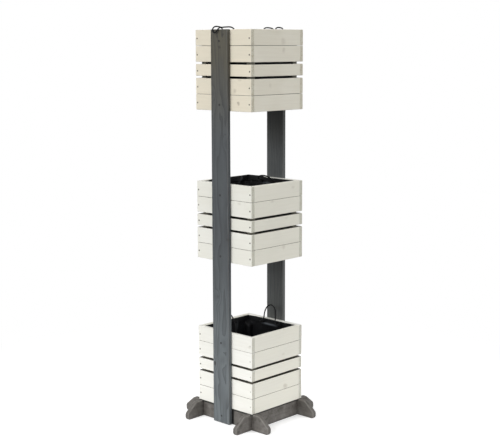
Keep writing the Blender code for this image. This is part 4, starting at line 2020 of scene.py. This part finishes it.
@dataclass
class RopeHandle:
    """One rope handle, whose ends turn in two lugs of a liner."""

    tier: Tier
    face: Face
    lie: Lie
    trees: Trees
    finishes: Finishes
    lean_degrees: float = 0.0
    radius: float = 2.5 * MM
    spread: float = 62 * MM
    bend: float = 10.5 * MM
    lug_side_clear: float = 2 * MM
    end_show: float = 2 * MM
    bend_steps: int = 4
    step: float = 5 * MM
    sides: int = 12
    bead_radius: float = 3.8 * MM
    bead_flat: float = 0.55
    bead_gap: float = 0.2 * MM
    bead_turns: float = 60.0

    def axis(self) -> Vector:
        """The middle of the axis that the handle turns on."""
        _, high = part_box(f"{self.tier.value}_liner")
        side = self.face.value[1]
        y = high.y + WALL_CLEAR - AXIS_INSET
        return Vector((0.0, side * y, high.z - AXIS_DROP))

    def end_x(self) -> float:
        """How far from the middle the rope's ends are."""
        half = self.spread / 2 + self.bend + self.lug_side_clear
        return half + LUG_LENGTH + self.end_show

    def leg_end(self, side: int) -> list[Vector]:
        """The route from an end along its lug's bore and round the bend.

        Args:
            side: 1 for the end along +X, and -1 for the other.

        Returns:
            The points, up to the bottom of the leg.
        """
        half, turn, end = self.spread / 2, self.bend, self.end_x()
        run = [Vector((side * end, 0, 0)), Vector((side * (end + half + turn) / 2, 0, 0))]
        for i in range(self.bend_steps + 1):
            angle = pi / 2 * i / self.bend_steps
            out = half + turn * (1 - sin(angle))
            run.append(Vector((side * out, 0, turn * (1 - cos(angle)))))
        return run

    def smoothed(self, points: list[Vector]) -> list[Vector]:
        """Points about a step apart on one smooth curve.

        Args:
            points: What the curve goes through, with one more before and after.

        Returns:
            The points, from the second to the last but one.
        """
        made = []
        for before, start, end, after in zip(points, points[1:], points[2:], points[3:]):
            pieces = max(1, round((end - start).length / self.step))
            for i in range(pieces):
                t = i / pieces
                curve = 2 * start + (end - before) * t
                curve += (2 * before - 5 * start + 4 * end - after) * t**2
                curve += (3 * start - before - 3 * end + after) * t**3
                made.append(0.5 * curve)
        return [*made, points[-2]]

    def route(self) -> list[Vector]:
        """The rope's middle line, from its right end over to its left one."""
        right, left = self.leg_end(1), self.leg_end(-1)
        inner = [Vector(p) * MM for p in self.lie.value]
        line = [right[-2], right[-1], *inner, left[-1], left[-2]]
        points = right[:-1] + self.smoothed(line) + left[-2::-1]
        lean = Matrix.Rotation(radians(self.lean_degrees), 3, "X")
        points = [lean @ p for p in points]
        if self.face is Face.FRONT:
            points = [Vector((-p.x, -p.y, p.z)) for p in points]
        return [p + self.axis() for p in points]

    def tube(self, name: str, route: list[Vector]) -> Object:
        """Makes a rope along a route.

        Args:
            name: The piece's name.
            route: The middle line.

        Returns:
            The piece, with a UV map: metres along, and turns round.
        """
        bm = bmesh.new()
        uv = bm.loops.layers.uv.new("cord")
        tangents = [
            (route[min(i + 1, len(route) - 1)] - route[max(i - 1, 0)]).normalized()
            for i in range(len(route))
        ]
        across = tangents[0].orthogonal().normalized()
        rings, lengths = [], [0.0]
        for i, (middle, tangent) in enumerate(zip(route, tangents, strict=True)):
            across = (across - tangent * across.dot(tangent)).normalized()
            other = tangent.cross(across)
            if i:
                lengths.append(lengths[-1] + (middle - route[i - 1]).length)
            ring = []
            for k in range(self.sides):
                angle = 2 * pi * k / self.sides
                spoke = across * cos(angle) + other * sin(angle)
                ring.append(bm.verts.new(middle + spoke * self.radius))
            rings.append(ring)
        for i, (one, next_one) in enumerate(zip(rings, rings[1:])):
            for k in range(self.sides):
                j = (k + 1) % self.sides
                face = bm.faces.new([one[k], one[j], next_one[j], next_one[k]])
                turns = (k / self.sides, (k + 1) / self.sides)
                places = ((i, 0), (i, 1), (i + 1, 1), (i + 1, 0))
                for loop, (row, turn) in zip(face.loops, places, strict=True):
                    loop[uv].uv = (lengths[row], turns[turn])
                face.smooth = True
        bm.faces.new(rings[0][::-1])
        bm.faces.new(rings[-1])
        bmesh.ops.recalc_face_normals(bm, faces=bm.faces)
        return piece_of(name, bm)

    def end_beads(self, name: str) -> Object:
        """Makes the melted beads that keep the rope's ends from slipping through the lugs.

        Args:
            name: The piece's name.

        Returns:
            The piece.
        """
        bm = bmesh.new()
        uv = bm.loops.layers.uv.new("cord")
        for side in (-1, 1):
            place = self.axis() + Vector((side * (self.end_x() + self.bead_gap), 0, 0))
            flat = Matrix.Diagonal((self.bead_flat, 1.0, 1.0, 1.0))
            bmesh.ops.create_uvsphere(
                bm, u_segments=16, v_segments=10, radius=self.bead_radius,
                matrix=Matrix.Translation(place) @ flat,
            )
        for face in bm.faces:
            face.smooth = True
            for loop in face.loops:
                loop[uv].uv = (loop.vert.co.x, loop.vert.co.z * self.bead_turns)
        return piece_of(name, bm)

    def build(self) -> None:
        node = f"{self.tier.value}_{self.face.word}_handle"
        route = self.route()
        rope = dress(self.tube(f"{node}_rope", route), node, (node,), self.finishes.cord)
        beads = dress(self.end_beads(f"{node}_ends"), node, (), self.finishes.cord)
        length = sum((b - a).length for a, b in zip(route, route[1:]))
        tuple(route[0])
        [tuple(p) for p in route]
        LOG.info("%s: a rope of %.0f mm", node, length / MM)


@dataclass
class Studio:
    """The white studio: its floor, its lamps and the camera of the photograph."""

    azimuth: float = radians(43.66)
    pitch: float = radians(9.02)
    roll: float = radians(-0.165)
    lens: float = 80.1
    sensor: float = 36.0
    camera_place: Triple = (2.9476, -3.0879, 1.4491)
    floor_size: float = 60.0
    near_floor: float = 0.6
    far_floor: float = 1.6
    floor_lift: float = 0.5
    shade: float = 0.2
    shade_middle: float = 0.14
    shade_reach: Pair = (0.085, 0.0)
    shade_ends: Pair = (0.19, 0.14)
    ambient: float = 0.6
    lamps: tuple[tuple[Triple, float, float], ...] = (
        ((-0.14, -0.89, 0.43), 2.15, 40.0),
        ((0.92, 0.10, 0.38), 1.22, 50.0),
    )

    def camera(self) -> None:
        """Sets up the camera."""
        data = bpy.data.cameras.new("camera")
        data.lens, data.sensor_width = self.lens, self.sensor
        data.clip_start, data.clip_end = 0.1, 100.0
        obj = placed("camera", data)
        level = Vector((cos(self.azimuth), sin(self.azimuth), 0.0))
        ahead = Vector((-level.y, level.x, 0.0))
        forward = ahead * cos(self.pitch) - Vector((0, 0, sin(self.pitch)))
        upright = level.cross(forward)
        right = level * cos(self.roll) + upright * sin(self.roll)
        up = upright * cos(self.roll) - level * sin(self.roll)
        turn = Matrix((right, up, -forward)).transposed().to_4x4()
        obj.matrix_world = Matrix.Translation(self.camera_place) @ turn
        bpy.context.scene.camera = obj

    def floor(self) -> None:
        """Lays the white floor, which keeps the planter's shadow near it.

        A painted shadow makes it a little less bright in a narrow strip along the planter's right side.
        """
        half = self.floor_size / 2
        mesh = bpy.data.meshes.new("studio_floor")
        corners = [(-half, -half, 0), (half, -half, 0), (half, half, 0), (-half, half, 0)]
        mesh.from_pydata(corners, [], [(0, 1, 2, 3)])
        made = bpy.data.materials.new("studio_white")
        made.use_nodes = True
        tree = made.node_tree
        tree.nodes.clear()
        coords = add_node(tree, "ShaderNodeTexCoord")
        away = add_node(tree, VECTOR_MATH, {0: coords.outputs["Object"]}, operation="LENGTH")
        far = add_node(
            tree, RAMP,
            {"Value": away.outputs["Value"], "From Min": self.near_floor,
             "From Max": self.far_floor},
            interpolation_type="SMOOTHSTEP",
        )
        path = add_node(tree, "ShaderNodeLightPath")
        seen = add_node(
            tree, MATH,
            {0: path.outputs["Is Camera Ray"], 1: path.outputs["Is Glossy Ray"]},
            operation="MAXIMUM",
        )
        seen = add_node(
            tree, MATH, {0: seen, 1: path.outputs["Is Transmission Ray"]}, operation="MAXIMUM"
        )
        matt = add_node(tree, "ShaderNodeBsdfDiffuse", {"Color": linear("#E9E9E9")})
        place = add_node(tree, SEPARATE, {0: coords.outputs["Object"]})
        # The painted shadow: the lift is lowered in a strip along the planter's right side
        ramps = []
        for along, middle, (begins, ends) in (
            (place.outputs[0], self.shade_middle, self.shade_reach),
            (place.outputs[1], 0.0, self.shade_ends),
        ):
            off = add_node(tree, MATH, {0: along, 1: middle}, operation="SUBTRACT")
            off = add_node(tree, MATH, {0: off}, operation="ABSOLUTE")
            ramps.append(add_node(tree, RAMP, {"Value": off, "From Min": begins, "From Max": ends}))
        shade = add_node(tree, MATH, {0: ramps[0], 1: ramps[1]}, operation="MULTIPLY")
        open_lift = add_node(
            tree, MATH, {0: shade, 1: -self.shade, 2: self.floor_lift}, operation="MULTIPLY_ADD"
        )
        lifted = add_node(tree, MATH, {0: seen, 1: open_lift}, operation="MULTIPLY")
        lift = add_node(tree, "ShaderNodeEmission", {"Color": WHITE, "Strength": lifted})
        near = add_node(tree, "ShaderNodeAddShader", {0: matt, 1: lift})
        white = add_node(tree, "ShaderNodeEmission", {"Color": WHITE, "Strength": seen})
        blend = add_node(tree, "ShaderNodeMixShader", {0: far, 1: near, 2: white})
        add_node(tree, "ShaderNodeOutputMaterial", {"Surface": blend})
        mesh.materials.append(made)
        placed("studio_floor", mesh)

    def light(self) -> None:
        """Hangs the lamps and sets the world."""
        for number, (towards, strength, spread) in enumerate(self.lamps, start=1):
            data = bpy.data.lights.new(f"lamp_{number}", "SUN")
            data.energy, data.angle = strength, radians(spread)
            lamp = placed(f"lamp_{number}", data)
            lamp.rotation_euler = Vector(towards).to_track_quat("Z", "Y").to_euler()
        world = bpy.data.worlds.new("studio_world")
        world.use_nodes = True
        tree = world.node_tree
        path = add_node(tree, "ShaderNodeLightPath")
        seen = add_node(
            tree, MATH,
            {0: path.outputs["Is Camera Ray"], 1: path.outputs["Is Transmission Ray"]},
            operation="MAXIMUM",
        )
        strength = add_node(tree, RAMP, {"Value": seen, "To Min": self.ambient})
        background = tree.nodes["Background"]
        background.inputs["Color"].default_value = WHITE
        tree.links.new(strength.outputs[0], background.inputs["Strength"])
        bpy.context.scene.world = world

    def build(self) -> None:
        """Sets up the whole studio."""
        self.camera()
        self.floor()
        self.light()
        bpy.context.scene.view_settings.view_transform = "Standard"


def main() -> None:
    """Builds the studio, then the planter piece by piece."""
    logging.basicConfig(level=logging.INFO, format="%(name)s: %(message)s")
    Studio().build()
    trees, finishes = Trees(), Finishes.mixed()
    lies = {
        (Tier.LOWER, Face.FRONT): (Lie.STANDING, 0.0),
        (Tier.LOWER, Face.BACK): (Lie.STANDING, 0.0),
        (Tier.MIDDLE, Face.FRONT): (Lie.STANDING, 180.0),
        (Tier.MIDDLE, Face.BACK): (Lie.SLUMPED, 62.0),
        (Tier.UPPER, Face.FRONT): (Lie.DRAPED_ASIDE, 0.0),
        (Tier.UPPER, Face.BACK): (Lie.DRAPED, 0.0),
    }
    for (tier, face), (lie, lean) in lies.items():
        RopeHandle(tier, face, lie, trees, finishes, lean).build()
    folds = {
        Tier.LOWER: (
            Fold(Face.BACK, (-0.052, 0.3440), (0.030, 0.3428), 1.5 * MM, wear=0.9),
            Fold(Face.BACK, (0.07, 0.304), (0.11, 0.349)),
            Fold(Face.LEFT, (0.055, 0.349), (0.049, 0.312), wear=0.25),
        ),
        Tier.MIDDLE: (
            Fold(Face.BACK, (-0.063, 0.9220), (-0.046, 0.9147), 1.5 * MM, wear=0.45),
            Fold(Face.BACK, (-0.050, 0.9147), (-0.002, 0.9172), 1.5 * MM, wear=0.55),
            Fold(Face.LEFT, (0.082, 0.935), (0.078, 0.9235), wear=0.6),
            Fold(Face.LEFT, (0.079, 0.926), (0.064, 0.911), wear=0.45),
        ),
        Tier.UPPER: (Fold(Face.LEFT, (-0.02, 1.504), (0.05, 1.464)),),
    }
    lifts = {
        Tier.MIDDLE: (
            RimLift((-0.13, -0.07), (-0.13, 0.125)), RimLift((-0.13, 0.128), (-0.06, 0.128)),
        ),
    }
    for tier in Tier:
        Liner(tier, trees, finishes, folds[tier], lifts.get(tier, ())).build()
        SlattedBox(tier, trees, finishes).build()
    Uprights(trees, finishes).build()
    FootedBase(finishes).build()


if __name__ == "__main__":
    main()
